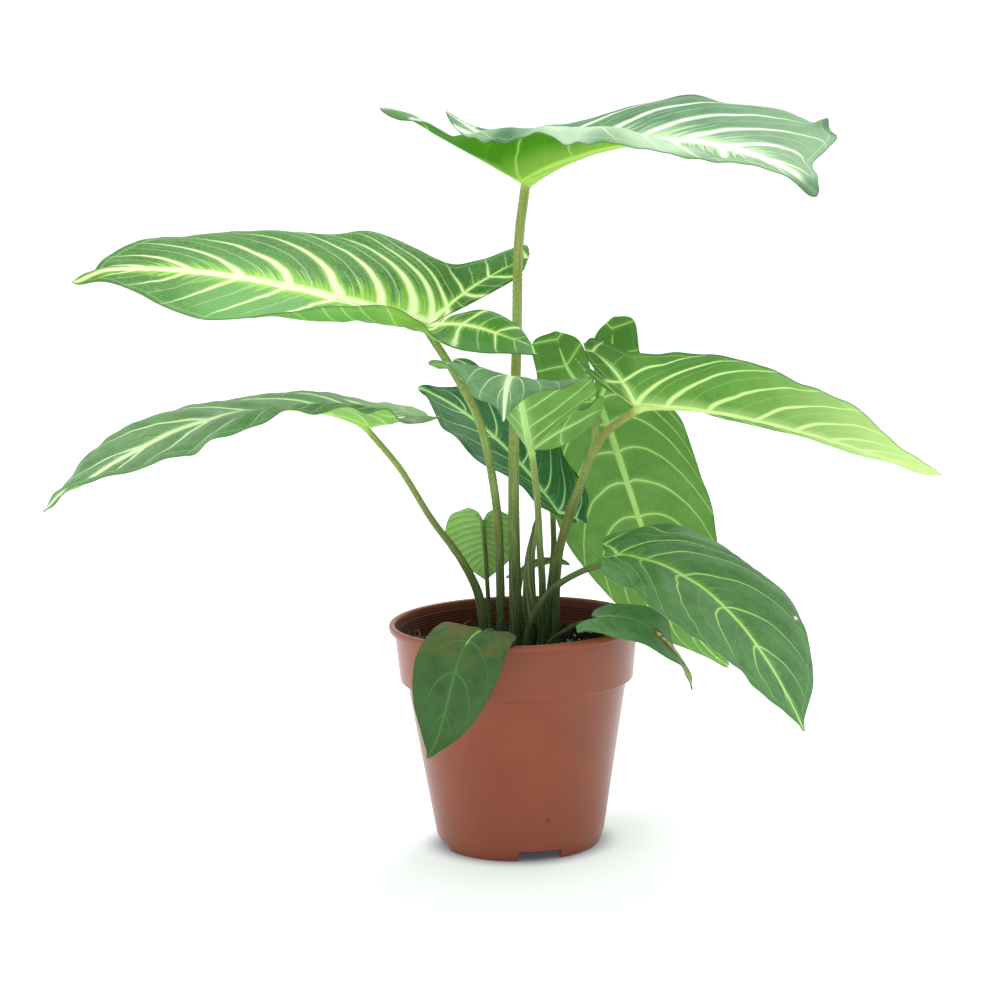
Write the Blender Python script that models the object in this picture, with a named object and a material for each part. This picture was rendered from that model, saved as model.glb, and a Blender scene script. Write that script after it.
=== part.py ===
"""A potted caladium: arrow-shaped leaves on thin stems, in peat soil, in a moulded nursery pot.

The origin is the middle of the pot's underside. +Z is up, +X is the way that the top leaf points, and the
front of the plant faces -Y. Sizes below are in millimetres and degrees, and the meshes are made in metres.
"""

import math
from dataclasses import dataclass

import bpy
import numpy as np

METRES = 0.001
GAP = 0.3  # clearance between pieces that touch

# Pot: a turned shell, outside and then inside, as (radius, height)
POT_SIDES = 48
RIM_RADIUS = 70.0
POT_HEIGHT = 125.0
WALL = 1.5
FLOOR = 2.0
FOOT_RADIUS = 43.8
FOOT_HEIGHT = 6.0
CENTRE_RADIUS = 28.0
BODY_LOW = (47.6, 12.5)
BODY_TOP = (60.7, 92.4)
LEDGE = 1.3  # thickness of the step between body and collar
COLLAR_LOW = (64.4, 93.4)
COLLAR_TOP = (67.0, 121.0)
LIP_WIDTH = 3.4

# Drainage: notches in the foot, each with a hole behind it
NOTCHES = 4
NOTCH_FIRST = -76.5
NOTCH_WIDTH = 24.0
DRAIN_RADIUS = 4.0
DRAIN_RING = 37.5

# Soil
SOIL_LEVEL = 110.0
SOIL_RINGS = (59.0, 52.0, 44.0, 36.0, 29.0)
SOIL_BUMP = 1.3
HOLE_DEPTH = 20.0
HOLE_SIDES = 12

# Leaves and stems
BLADE_THICKNESS = 1.0
BLADE_COLUMNS = 4
STEM_SIDES = 8
STRAIGHT_STEM = 4.0  # height above the soil before a stem leans

# Half of a flat blade's edge, from the tip to beside the stem: where a side vein leaves the middle vein
# (0 at the tip, 1 at the stem), and where it meets the edge, in blade lengths and half widths
EDGE = (
    (0.00, 1.000, 0.00),
    (0.14, 0.945, 0.10),
    (0.34, 0.800, 0.44),
    (0.54, 0.620, 0.79),
    (0.74, 0.410, 0.98),
    (0.90, 0.230, 1.00),
    (1.00, 0.100, 0.95),
)


@dataclass
class Leaf:
    """One leaf. Pairs are (left, right), seen from above along the blade towards its tip."""

    name: str
    foot: tuple  # x, y where its stem leaves the soil
    stem: tuple  # points that the stem passes, from the soil up
    base: tuple  # x, y, z where the stem meets the blade
    stem_radius: tuple  # at the soil and at the blade
    length: float  # from the stem to the tip, along the blade
    half_width: tuple
    heading: float  # the way the blade points, turned from +X towards +Y
    pitch: tuple  # slope of the middle vein at the stem, halfway and at the tip
    bend: float = 0.0  # how far the heading turns by the tip
    roll: tuple = (0.0, 0.0)  # left side raised, at the stem and at the tip
    fold: tuple = (20.0, 20.0)  # rise of each half from the middle vein
    fold_kept: float = 0.4  # share of the fold left at the tip
    curl: tuple = (-20.0, -20.0)  # turn of each edge, up or down
    lobe: tuple = (50.0, 50.0)  # length of each lobe behind the stem
    spread: tuple = (38.0, 38.0)  # angle between each lobe and the way straight back
    lift: tuple = (30.0, 30.0)  # rise of each lobe
    droop: tuple = (0.0, 0.0)  # bend of each lobe back down
    waist: float = 0.84  # half width beside the stem
    blunt: float = 0.0  # roundness of the lobe tips
    wave: float = 1.5  # height of the waves in the edge
    waves: float = 4.0
    wave_start: float = 0.0
    rows: tuple = (12, 5)  # faces along the blade and along a lobe


LEAVES = (
    Leaf("top", (0, -1), ((0, -1, 160), (1, -1, 220), (4, 0, 280), (6, 0, 330)), (10, 0, 365), (5.2, 3.0),
         219, (78, 75), -25, (29, -2, -14), bend=-45, roll=(0, 1), fold=(35, 41), fold_kept=0.12, curl=(-41, -97),
         lobe=(80, 80), spread=(40, 39), lift=(57, 64), waist=0.80, blunt=-0.1, wave=1.8, wave_start=0.64),
    Leaf("upper_left", (-8.5, 2), ((-8, 2, 145), (-9, 0, 188), (-16, -1, 231), (-28, -3, 259)), (-44, -8, 290),
         (3.0, 2.6), 200, (78, 74), 186, (19, 13, -3), bend=33, roll=(-19, -28), fold=(13, 21), fold_kept=-0.95,
         curl=(72, -29), lobe=(62, 68), spread=(27, 37), lift=(39, 40), droop=(52, 0), waist=0.70, blunt=0.5,
         wave=1.2, wave_start=0.1),
    Leaf("lower_left", (-17, -2), ((-20, -3, 140), (-30, -5, 162), (-45, -6, 184), (-61, -8, 212)), (-77, -10, 236),
         (4.6, 2.0), 197, (55, 55), 197, (27, -13, -28), bend=20, roll=(-5, -5), fold=(21, 15), fold_kept=-0.15,
         curl=(-20, -64), lobe=(41, 43), spread=(43, 30), lift=(50, 49), droop=(36, 50), wave=0.9, wave_start=0.94),
    Leaf("right", (21, -4), ((23, -4, 151), (27, -4, 173), (36, -5, 199), (50, -5, 227)), (68, -5, 243), (3.5, 2.5),
         171, (47, 47), 0, (-1, -16, -18), bend=-5, roll=(-32, -32), fold=(36, 23), fold_kept=0.27,
         lobe=(49, 48), spread=(32, 50), lift=(44, 25), wave=1.3, wave_start=0.86),
    Leaf("rear", (17, 3), ((20, 5, 138), (27, 6, 165), (37, 12, 190), (47, 34, 216)), (50, 66, 236), (3.5, 2.6),
         187, (49, 48), 32, (-65, -68, -38), bend=-6, roll=(-26, -32), fold=(-10, 10), fold_kept=0.4, curl=(-21, -22),
         lobe=(49, 49), spread=(20, 22), lift=(19, 17), droop=(-4, -13), waist=0.73, blunt=0.3,
         wave=1.3, wave_start=0.18),
    Leaf("lower_right", (6, -10), ((9, -15, 128), (20, -19, 145), (37, -18, 155)), (56, -18, 163), (2.8, 2.0),
         160, (54, 55), -31, (1, -33, -45), bend=-34, roll=(1, -18), fold=(16, 7), fold_kept=0.26, curl=(-28, -24),
         lobe=(17, 16), spread=(34, 60), lift=(8, 8), waist=0.85, wave=1.1, wave_start=0.87),
    Leaf("front", (14, -6), ((15, -11, 146), (14, -20, 170), (13, -32, 198)), (10, -50, 227), (2.8, 2.1),
         136, (40, 47), -96, (22, 32, -70), bend=-2, roll=(16, -23), fold=(26, 70), fold_kept=-0.44, curl=(12, -35),
         lobe=(60, 68), spread=(56, 59), lift=(-20, 82), blunt=-0.4, wave=1.8, wave_start=0.95),
    Leaf("inner", (17, 12), ((19, 18, 135), (22, 26, 158)), (24, 33, 179), (2.8, 1.9),
         110, (37, 38), 154, (54, 40, 19), bend=2, roll=(19, -28), fold=(7, 29), fold_kept=0.5, curl=(-23, -15),
         lobe=(18, 18), spread=(50, 50), lift=(10, 10), waist=0.85, wave=1.6, rows=(10, 3)),
    Leaf("right_rim", (18, -12.5), ((25, -18, 121), (35, -23, 127)), (44, -28, 131), (1.8, 1.4),
         76, (25, 25), -32, (15, -30, -80), roll=(5, -14), fold=(8, -3), curl=(-17, -24),
         lobe=(10, 10), spread=(50, 50), lift=(5, 5), waist=0.85, wave=0.8, waves=3, rows=(9, 3)),
    Leaf("front_rim", (-9, -12), ((-12, -30, 124), (-15, -43, 128)), (-18, -54, 130), (2.2, 1.6),
         91, (24, 23), -118, (13, -56, -14), bend=5, roll=(-2, -21), fold=(2, 9),
         lobe=(10, 10), spread=(45, 45), lift=(8, 8), waist=0.85, wave=0.6, rows=(10, 3)),
    Leaf("small_rear", (-14, 10), ((-15, 16, 135), (-16, 24, 158)), (-17, 34, 175), (1.8, 1.4),
         37, (23, 20), 85, (-68, -78, -79), roll=(4, 0), fold=(18, 18),
         lobe=(8, 8), spread=(45, 45), lift=(10, 10), waist=0.85, wave=0.5, waves=2, rows=(8, 3)),
    Leaf("smallest", (0, 12), ((1, 20, 123), (2, 30, 132)), (3, 38, 143), (1.6, 1.2),
         32, (11, 11), 20, (35, 5, -20), roll=(-20, -20), fold=(20, 20),
         lobe=(9, 9), spread=(45, 45), lift=(20, 20), waist=0.85, wave=0.4, waves=2, rows=(7, 3)),
)

# The rolled new leaf: its axis, and its radius at each point
SPEAR_FOOT = (8.0, 6.0)
SPEAR_AXIS = ((8, 5, 135), (9, 3, 160), (15, 1, 189))
SPEAR_RADII = (4.2, 4.6, 4.4, 3.2, 1.0)
SPEAR_TOP_RADIUS = 0.5

COLOURS = {
    "pot": ((0.33, 0.11, 0.065), 0.38),
    "soil": ((0.018, 0.013, 0.010), 0.95),
    "leaf": ((0.06, 0.19, 0.045), 0.42),
    "stem": ((0.17, 0.23, 0.06), 0.5),
    "spear": ((0.07, 0.10, 0.04), 0.5),
}


def curve_through(points, count):
    """Places along a smooth curve through the points, the same number between each two."""
    ends = [2 * points[0] - points[1]], [2 * points[-1] - points[-2]]
    knots = np.vstack([ends[0], points, ends[1]])
    along = np.linspace(0, len(points) - 1, count)
    first = np.minimum(along.astype(int), len(points) - 2)
    part = (along - first)[:, None]
    a, b, c, d = (knots[first + step] for step in range(4))
    curved = 2 * a - 5 * b + 4 * c - d + part * (3 * (b - c) + d - a)
    return b + 0.5 * part * (c - a + part * curved)


def even_places(line, count):
    """Places the same distance apart along a line of points."""
    steps = np.linalg.norm(np.diff(line, axis=0), axis=1)
    travelled = np.concatenate([[0], np.cumsum(steps)])
    wanted = np.linspace(0, travelled[-1], count)
    return np.stack([np.interp(wanted, travelled, line[:, axis]) for axis in (0, 1)], axis=1)


def flat_edges(leaf, side):
    """The inner and outer edge of one flat half blade, from the tip to the lobe's tip, as rows of (x, y)."""
    length, width, lobe = leaf.length, leaf.half_width[side], leaf.lobe[side]
    rows, lobe_rows = leaf.rows
    angle = math.radians(leaf.spread[side])
    back = np.array([-math.cos(angle), math.sin(angle)])
    across = np.array([math.sin(angle), math.cos(angle)])
    lobe_tip = lobe * back

    veins, forward, outward = np.array(EDGE).T
    main = np.stack([forward * length, outward * width], axis=1)
    beside = np.array([-0.01 * length, leaf.waist * width])
    span = lobe_tip - beside
    bulge = lobe * np.array([-abs(span[1]), abs(span[0])]) / np.linalg.norm(span)
    shoulder = beside + 0.42 * span + 0.12 * bulge
    corner = beside + (0.80 + 0.06 * leaf.blunt) * span + (0.20 + 0.16 * leaf.blunt) * bulge
    outline = np.vstack([main, beside, shoulder, corner, lobe_tip])
    fine = 40
    edge = curve_through(outline, fine * (len(outline) - 1) + 1)
    knots = fine * np.interp(np.linspace(0, 1, rows + 1), veins, np.arange(len(veins)))
    places = np.arange(len(edge))
    outer = np.stack([np.interp(knots, places, edge[:, axis]) for axis in (0, 1)], axis=1)
    outer_lobe = even_places(edge[fine * (len(main) - 1):], lobe_rows + 1)

    inner = np.stack([length * np.linspace(1, 0, rows + 1), np.zeros(rows + 1)], axis=1)
    near = 0.30 * lobe_tip - 0.10 * lobe * across
    far = (0.70 + 0.10 * leaf.blunt) * lobe_tip - (0.15 + 0.10 * leaf.blunt) * lobe * across
    cleft = curve_through(np.vstack([np.zeros(2), near, far, lobe_tip]), 3 * fine + 1)
    return np.vstack([inner, even_places(cleft, lobe_rows + 1)[1:]]), np.vstack([outer, outer_lobe[1:]])


def middle_vein(leaf, count=65):
    """Places along the middle vein with its direction, its left and its upper side at each."""
    share = np.linspace(0, 1, count)
    first, half, last = np.radians(leaf.pitch)
    pitch = first * (1 - share) * (1 - 2 * share) + 4 * half * share * (1 - share) + last * share * (2 * share - 1)
    heading = np.radians(leaf.heading + leaf.bend * share)
    roll = np.radians(leaf.roll[0] + (leaf.roll[1] - leaf.roll[0]) * share)[:, None]
    level = np.stack([np.cos(heading), np.sin(heading), 0 * heading], axis=1)
    along = level * np.cos(pitch)[:, None] + np.array([0, 0, 1]) * np.sin(pitch)[:, None]
    left = np.stack([-np.sin(heading), np.cos(heading), 0 * heading], axis=1)
    upper = np.cross(along, left)
    rolled_left = left * np.cos(roll) + upper * np.sin(roll)
    rolled_upper = upper * np.cos(roll) - left * np.sin(roll)
    steps = (along[1:] + along[:-1]) / 2 * leaf.length / (count - 1)
    places = np.array(leaf.base) + np.vstack([np.zeros(3), np.cumsum(steps, axis=0)])
    return share, places, along, rolled_left, rolled_upper


def bent_half(leaf, side):
    """One half blade in space, as a grid of points from its inner to its outer edge.

    Beside the middle vein a point leaves it along an arc that starts at the fold and turns by the curl.
    Behind the stem the blade turns up along each lobe, gently at the waist and sharply near the stem.
    """
    inner, outer = flat_edges(leaf, side)
    out = np.linspace(0, 1, BLADE_COLUMNS + 1)[None, :, None]
    flat = inner[:, None] * (1 - out) + outer[:, None] * out
    x, y = flat[..., 0], flat[..., 1]
    share, places, along, left, upper = middle_vein(leaf)
    forward = np.clip(x / leaf.length, 0, 1)

    def at(rows):
        return np.stack([np.interp(forward, share, rows[:, axis]) for axis in range(3)], axis=-1)

    sideways = at(left) * (1 if side == 0 else -1)
    width = leaf.half_width[side]
    fold = math.radians(leaf.fold[side]) * (1 - forward * (1 - leaf.fold_kept))
    level_part = np.zeros_like(y)
    risen_part = np.zeros_like(y)
    steps = 4
    for step in range(steps):
        turn = fold + math.radians(leaf.curl[side]) * ((step + 0.5) / steps * y / width) ** 3
        level_part += y * np.cos(turn) / steps
        risen_part += y * np.sin(turn) / steps

    behind = np.maximum(-x, 0)
    softness = 0.35 * y
    turned = np.sqrt(behind ** 2 + softness ** 2) - softness
    rise = math.radians(leaf.lift[side]) - 0.5 * math.radians(leaf.droop[side]) * behind / leaf.lobe[side]
    backward = behind - turned * (1 - np.cos(rise))
    upward = turned * np.sin(rise)

    row = np.linspace(0, 1, len(inner))[:, None]
    phase = leaf.waves * row + leaf.wave_start + 0.5 * (1 - side)
    ripple = leaf.wave * np.sin(2 * math.pi * phase) * out[..., 0] ** 2
    return (
        at(places)
        + sideways * level_part[..., None]
        + at(upper) * (risen_part + ripple)[..., None]
        - along[0] * backward[..., None]
        + upper[0] * upward[..., None]
    )


def blade_sheet(leaf):
    """The whole blade without thickness: its points and its triangles, which face up."""
    halves = [bent_half(leaf, side) for side in (0, 1)]
    shape = halves[0].shape[:2]
    points = np.concatenate([half.reshape(-1, 3) for half in halves])
    index = [np.arange(shape[0] * shape[1]).reshape(shape) + side * shape[0] * shape[1] for side in (0, 1)]
    index[1][: leaf.rows[0] + 1, 0] = index[0][: leaf.rows[0] + 1, 0]
    triangles = []
    for side, grid in enumerate(index):
        grid[0, :] = index[0][0, 0]
        grid[-1, :] = grid[-1, 0]
        a, b, c, d = grid[:-1, :-1], grid[1:, :-1], grid[1:, 1:], grid[:-1, 1:]
        quads = (a, d, c, b) if side == 0 else (a, b, c, d)
        a, b, c, d = (corner.ravel() for corner in quads)
        triangles += [np.stack([a, b, c], axis=1), np.stack([a, c, d], axis=1)]
    triangles = np.concatenate(triangles)
    a, b, c = triangles.T
    triangles = triangles[(a != b) & (b != c) & (c != a)]
    used, triangles = np.unique(triangles, return_inverse=True)
    return points[used], triangles.reshape(-1, 3)


def thickened(points, triangles, thickness):
    """A closed solid of this thickness about a sheet of triangles."""
    corners = points[triangles]
    facing = np.cross(corners[:, 1] - corners[:, 0], corners[:, 2] - corners[:, 0])
    normals = np.zeros_like(points)
    for corner in range(3):
        np.add.at(normals, triangles[:, corner], facing)
    normals /= np.linalg.norm(normals, axis=1)[:, None]
    top = points + normals * thickness / 2
    bottom = points - normals * thickness / 2
    count = len(points)
    edges = np.concatenate([triangles[:, [0, 1]], triangles[:, [1, 2]], triangles[:, [2, 0]]])
    pairs = {tuple(edge) for edge in edges.tolist()}
    rim = [(a, b) for a, b in sorted(pairs) if (b, a) not in pairs]
    wall = [face for a, b in rim for face in ((b, a, a + count), (b, a + count, b + count))]
    faces = triangles.tolist() + (triangles[:, ::-1] + count).tolist() + wall
    return np.concatenate([top, bottom]), faces


def make_object(name, points, faces, finish):
    mesh = bpy.data.meshes.new(name)
    mesh.from_pydata((np.asarray(points) * METRES).tolist(), [], [tuple(face) for face in faces])
    mesh.validate()
    mesh.shade_smooth()
    mesh.set_sharp_from_angle(angle=math.radians(40))
    mesh.materials.append(finish)
    part = bpy.data.objects.new(name, mesh)
    bpy.context.scene.collection.objects.link(part)
    return part


def make_finish(name):
    colour, roughness = COLOURS[name]
    finish = bpy.data.materials.new(name)
    finish.use_nodes = True
    shader = finish.node_tree.nodes["Principled BSDF"]
    shader.inputs["Base Color"].default_value = (*colour, 1)
    shader.inputs["Roughness"].default_value = roughness
    return finish


def turned(profile, sides):
    """A solid of revolution of (radius, height) points, closed by a flat face at each end, outer side first."""
    angles = np.arange(sides) * 2 * math.pi / sides
    points = [(radius * math.cos(a), radius * math.sin(a), height) for radius, height in profile for a in angles]
    faces = [tuple(range(sides))[::-1]]
    for low in range(0, (len(profile) - 1) * sides, sides):
        for side in range(sides):
            after = (side + 1) % sides
            faces.append((low + side, low + after, low + sides + after, low + sides + side))
    faces.append(tuple(range((len(profile) - 1) * sides, len(profile) * sides)))
    return points, faces


def tube(path, radii, sides):
    """A closed tube round a path, with a radius at each of its points."""
    along = np.gradient(path, axis=0)
    along /= np.linalg.norm(along, axis=1)[:, None]
    around = np.arange(sides) * 2 * math.pi / sides
    side = np.array([1.0, 0.0, 0.0])
    points = []
    for place, direction, radius in zip(path, along, radii):
        side = side - direction * (side @ direction)
        side /= np.linalg.norm(side)
        other = np.cross(direction, side)
        points += [place + radius * (side * math.cos(a) + other * math.sin(a)) for a in around]
    faces = [tuple(range(sides))[::-1]]
    for ring in range(len(path) - 1):
        for k in range(sides):
            after = (k + 1) % sides
            low = ring * sides
            faces.append((low + k, low + after, low + sides + after, low + sides + k))
    faces.append(tuple(range((len(path) - 1) * sides, len(path) * sides)))
    return points, faces


def cut_away(part, cutters):
    """Cuts each cutter out of the part, for good, and removes it."""
    for cutter in cutters:
        modifier = part.modifiers.new(cutter.name, "BOOLEAN")
        modifier.operation = "DIFFERENCE"
        modifier.object = cutter
    graph = bpy.context.evaluated_depsgraph_get()
    cut = bpy.data.meshes.new_from_object(part.evaluated_get(graph))
    part.modifiers.clear()
    part.data = cut
    for cutter in cutters:
        bpy.data.objects.remove(cutter)


def post(name, x, y, low, high, radius, sides, finish):
    """An upright round rod, used as a cutter."""
    points, faces = tube(np.array([(x, y, low), (x, y, high)], float), (radius, radius), sides)
    cutter = make_object(name, points, faces, finish)
    cutter.hide_render = True
    cutter.display_type = "WIRE"
    return cutter


def inner_radius(height):
    """The pot's inner radius at a height in the collar."""
    share = (height - COLLAR_LOW[1]) / (COLLAR_TOP[1] - COLLAR_LOW[1])
    return COLLAR_LOW[0] + share * (COLLAR_TOP[0] - COLLAR_LOW[0]) - WALL


def make_pot(finish):
    """The shell with its foot, collar and lip, then the notches and drain holes."""
    channel_top = FOOT_HEIGHT + FLOOR
    lip = RIM_RADIUS
    profile = [
        (CENTRE_RADIUS, 0),
        (CENTRE_RADIUS + 0.6, FOOT_HEIGHT),
        (FOOT_RADIUS + 0.6, FOOT_HEIGHT),
        (FOOT_RADIUS - 1.8, 0),
        (FOOT_RADIUS, 0),
        (FOOT_RADIUS + 1.4, 3),
        (FOOT_RADIUS + 2.8, 7),
        BODY_LOW,
        BODY_TOP,
        COLLAR_LOW,
        COLLAR_TOP,
        (lip - 0.8, COLLAR_TOP[1] + 0.4),
        (lip, COLLAR_TOP[1] + 1.2),
        (lip, POT_HEIGHT - 0.8),
        (lip - 0.8, POT_HEIGHT),
        (lip - LIP_WIDTH + 0.7, POT_HEIGHT),
        (lip - LIP_WIDTH, POT_HEIGHT - 0.8),
        (COLLAR_TOP[0] - WALL, COLLAR_TOP[1]),
        (COLLAR_LOW[0] - WALL, COLLAR_LOW[1] + LEDGE),
        (BODY_TOP[0] - WALL, BODY_TOP[1] + LEDGE),
        (BODY_LOW[0] - WALL, BODY_LOW[1] + 1.0),
        (BODY_LOW[0] - WALL - 0.6, channel_top),
        (CENTRE_RADIUS - 0.9, channel_top),
        (CENTRE_RADIUS - 1.5, FLOOR),
    ]
    points, faces = turned(profile, POT_SIDES)
    pot = make_object("pot", points, faces, finish)
    cutters = []
    for number in range(NOTCHES):
        angle = math.radians(NOTCH_FIRST + number * 360 / NOTCHES)
        bpy.ops.mesh.primitive_cube_add(size=1)
        notch = bpy.context.object
        notch.name = f"notch_{number}"
        notch.scale = (12 * METRES, NOTCH_WIDTH * METRES, 2 * (FOOT_HEIGHT - 0.4) * METRES)
        notch.location = (FOOT_RADIUS * math.cos(angle) * METRES, FOOT_RADIUS * math.sin(angle) * METRES, 0)
        notch.rotation_euler = (0, 0, angle)
        notch.hide_render = True
        notch.display_type = "WIRE"
        cutters.append(notch)
        x, y = DRAIN_RING * math.cos(angle), DRAIN_RING * math.sin(angle)
        low, high = FOOT_HEIGHT - 1, channel_top + 1
        cutters.append(post(f"drain_{number}", x, y, low, high, DRAIN_RADIUS, HOLE_SIDES, finish))
    cut_away(pot, cutters)
    return pot


def soil_height(x, y):
    """The lumpy top of the soil, which is level round the stems."""
    lumps = np.sin(0.21 * x + 1.3) * np.cos(0.17 * y) + 0.6 * np.sin(0.37 * y - 0.25 * x)
    away = np.clip((np.hypot(x, y) - SOIL_RINGS[-1]) / 10, 0, 1)
    return SOIL_LEVEL + SOIL_BUMP * lumps * away


def make_soil(finish, holes):
    """Fills the pot to just under the collar's middle, with a plain hole for each stem."""
    clear = GAP + 0.1
    shelf = FLOOR + FOOT_HEIGHT + clear
    profile = [
        (CENTRE_RADIUS - 1.5 - clear, FLOOR + clear),
        (CENTRE_RADIUS - 0.9 - clear, shelf),
        (BODY_LOW[0] - WALL - 0.6 - clear, shelf),
        (BODY_LOW[0] - WALL - clear, BODY_LOW[1] + 1.0),
        (BODY_TOP[0] - WALL - clear, BODY_TOP[1] + LEDGE + clear),
        (COLLAR_LOW[0] - WALL - clear, COLLAR_LOW[1] + LEDGE + clear),
        (inner_radius(SOIL_LEVEL) - clear, SOIL_LEVEL),
        *((radius, SOIL_LEVEL) for radius in SOIL_RINGS),
    ]
    points, faces = turned(profile, POT_SIDES)
    points = np.array(points, float)
    top = points[:, 2] > SOIL_LEVEL - 0.01
    points[top, 2] = soil_height(points[top, 0], points[top, 1])
    soil = make_object("soil", points, faces, finish)
    low, high = SOIL_LEVEL - HOLE_DEPTH - GAP, SOIL_LEVEL + STRAIGHT_STEM
    cutters = []
    for name, (x, y), radius in holes:
        corner = radius / math.cos(math.pi / HOLE_SIDES) + GAP
        cutters.append(post(f"hole_{name}", x, y, low, high, corner, HOLE_SIDES, finish))
    cut_away(soil, cutters)
    return soil


def planted_path(foot, route, end):
    """A stem's path: straight up out of its hole, then on a smooth curve through the route to its end."""
    x, y = foot
    route = [(x, y, SOIL_LEVEL), (x, y, SOIL_LEVEL + STRAIGHT_STEM), *route, end]
    curve = curve_through(np.array(route, float), 2 * len(route) - 1)
    return np.vstack([[(x, y, SOIL_LEVEL - HOLE_DEPTH)], curve])


def stem_end(leaf):
    """The middle of the stem's top, just under the blade.

    The stem arrives at a slant, so the rim of its top reaches higher than its middle. The lobes, which turn
    up behind it through half their lift on the way, make room for it.
    """
    _, _, along, _, upper = middle_vein(leaf)
    base = np.array(leaf.base, float)
    toward = base - np.array(leaf.stem[-1], float)
    toward /= np.linalg.norm(toward)
    rim = upper[0] - toward * (toward @ upper[0])
    rim *= leaf.stem_radius[1] / np.linalg.norm(rim)
    room = max(-(rim @ along[0]), 0) * math.tan(math.radians(max(min(leaf.lift), 0)) / 2)
    return base - upper[0] * (BLADE_THICKNESS / 2 + GAP + max(rim @ upper[0] - room, 0))


def make_stem(leaf, finish):
    """From its hole to just under the blade, thicker towards the soil."""
    path = planted_path(leaf.foot, leaf.stem, stem_end(leaf))
    thick, thin = leaf.stem_radius
    radii = thin + (thick - thin) * (1 - np.linspace(0, 1, len(path))) ** 1.6
    points, faces = tube(path, radii, STEM_SIDES)
    return make_object(f"stem_{leaf.name}", points, faces, finish)


def make_leaf(leaf, finish):
    points, triangles = blade_sheet(leaf)
    points, faces = thickened(points, triangles, BLADE_THICKNESS)
    return make_object(f"leaf_{leaf.name}", points, faces, finish)


def make_spear(finish):
    """The new leaf, still rolled, which stands among the stems."""
    end = np.array(SPEAR_AXIS[-1], float)
    path = planted_path(SPEAR_FOOT, SPEAR_AXIS[:-1], end)
    radii = np.interp(np.linspace(0, 1, len(path)), np.linspace(0, 1, len(SPEAR_RADII)), SPEAR_RADII)
    radii[-1] = SPEAR_TOP_RADIUS
    points, faces = tube(path, radii, STEM_SIDES)
    return make_object("new_leaf_spear", points, faces, finish)


def main():
    for old in list(bpy.data.objects):
        bpy.data.objects.remove(old)
    finishes = {name: make_finish(name) for name in COLOURS}
    make_pot(finishes["pot"])
    holes = [(leaf.name, leaf.foot, leaf.stem_radius[0]) for leaf in LEAVES]
    holes.append(("spear", SPEAR_FOOT, max(SPEAR_RADII)))
    make_soil(finishes["soil"], holes)
    for leaf in LEAVES:
        make_stem(leaf, finishes["stem"])
        make_leaf(leaf, finishes["leaf"])
    make_spear(finishes["spear"])


main()
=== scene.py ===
"""The looks of a potted caladium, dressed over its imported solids.

The origin is under the middle of the pot, +Z is up and the plant is seen from -Y. Sizes in the tables are in
millimetres and degrees. A mesh is worked out in millimetres and put down in metres.
"""

import math
from dataclasses import dataclass

import bpy
import numpy as np
from mathutils import Matrix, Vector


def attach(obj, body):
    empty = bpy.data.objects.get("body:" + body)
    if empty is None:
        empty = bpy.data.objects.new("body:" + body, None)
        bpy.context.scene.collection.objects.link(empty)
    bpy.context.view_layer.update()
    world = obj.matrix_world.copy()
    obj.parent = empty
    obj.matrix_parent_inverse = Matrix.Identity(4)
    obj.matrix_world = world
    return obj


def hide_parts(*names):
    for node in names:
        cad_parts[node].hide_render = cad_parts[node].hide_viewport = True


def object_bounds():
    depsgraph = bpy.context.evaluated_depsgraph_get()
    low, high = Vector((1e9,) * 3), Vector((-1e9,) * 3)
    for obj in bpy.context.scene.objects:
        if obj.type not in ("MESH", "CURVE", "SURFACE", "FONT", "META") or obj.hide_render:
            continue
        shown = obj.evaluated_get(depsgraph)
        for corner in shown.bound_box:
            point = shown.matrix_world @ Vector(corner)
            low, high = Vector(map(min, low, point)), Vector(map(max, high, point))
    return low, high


METRES = 0.001
BODY = "root"

# The pot, a turned shell. Pairs are (radius, height).
POT_SIDES = 192
RIM_RADIUS = 70.0
POT_HEIGHT = 125.0
WALL = 1.5
FLOOR = 2.0
FOOT_RADIUS = 43.8
FOOT_HEIGHT = 6.0
CENTRE_RADIUS = 28.0
BODY_LOW = (47.6, 12.5)
BODY_TOP = (60.7, 92.4)
LEDGE = 1.3
COLLAR_LOW = (64.4, 93.4)
COLLAR_TOP = (67.0, 121.0)
LIP_WIDTH = 3.4
CORNER_STEPS = 5
INNER_RIBS = 5
RIB_PITCH = 1.5
RIB_DEPTH = 0.4
COLLAR_SLOPE = 0.094  # how much its wall widens upwards
COLLAR_SHADE = (0.0936, 0.0945)  # heights in metres between which painted shade darkens its inside

# Drainage: notches in the foot, each with a hole behind it
NOTCHES = 4
NOTCH_FIRST = -76.5
NOTCH_WIDTH = 24.0
DRAIN_RADIUS = 4.0
DRAIN_RING = 37.5
DRAIN_SIDES = 40

# Soil
SOIL_LEVEL = 110.0
SOIL_LEVEL_RADIUS = 29.0  # within it the soil is level, round the stems
SOIL_BUMP = 1.3
SOIL_CLEAR = 0.4
HOLE_DEPTH = 20.0
SOIL_SIDES = 180
SOIL_RINGS = 70
CLODS = 2600
PERLITE = 300
FIBRES = 9
FIBRE_STEPS = 41
FIBRE_SIDES = 6

# Blades
BLADE_THICKNESS = 0.6
FINER = 10  # rows of the dressed blade for each row of its solid
COLUMNS = 30
COLUMN_CROWDING = 1.5  # more columns beside the middle vein
EDGE_STEPS = 40  # of the smooth edge between two of its points
VEIN_PLACES = 65  # along the middle vein
ARC_STEPS = 4  # of the arc from the middle vein to the edge
LOBE_BOW = 0.10  # of a lobe's own vein, in lobe lengths
LOBE_SLANT = 0.45  # of a lobe's side veins towards its tip
CROWD_REACH = 0.07  # of the crowded side veins beside the stem, in blade lengths
FAR_FRILL = 0.45  # strength of the frills in the half away from the front
BLUSH = (0.20, 0.10, 0.03)

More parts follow.
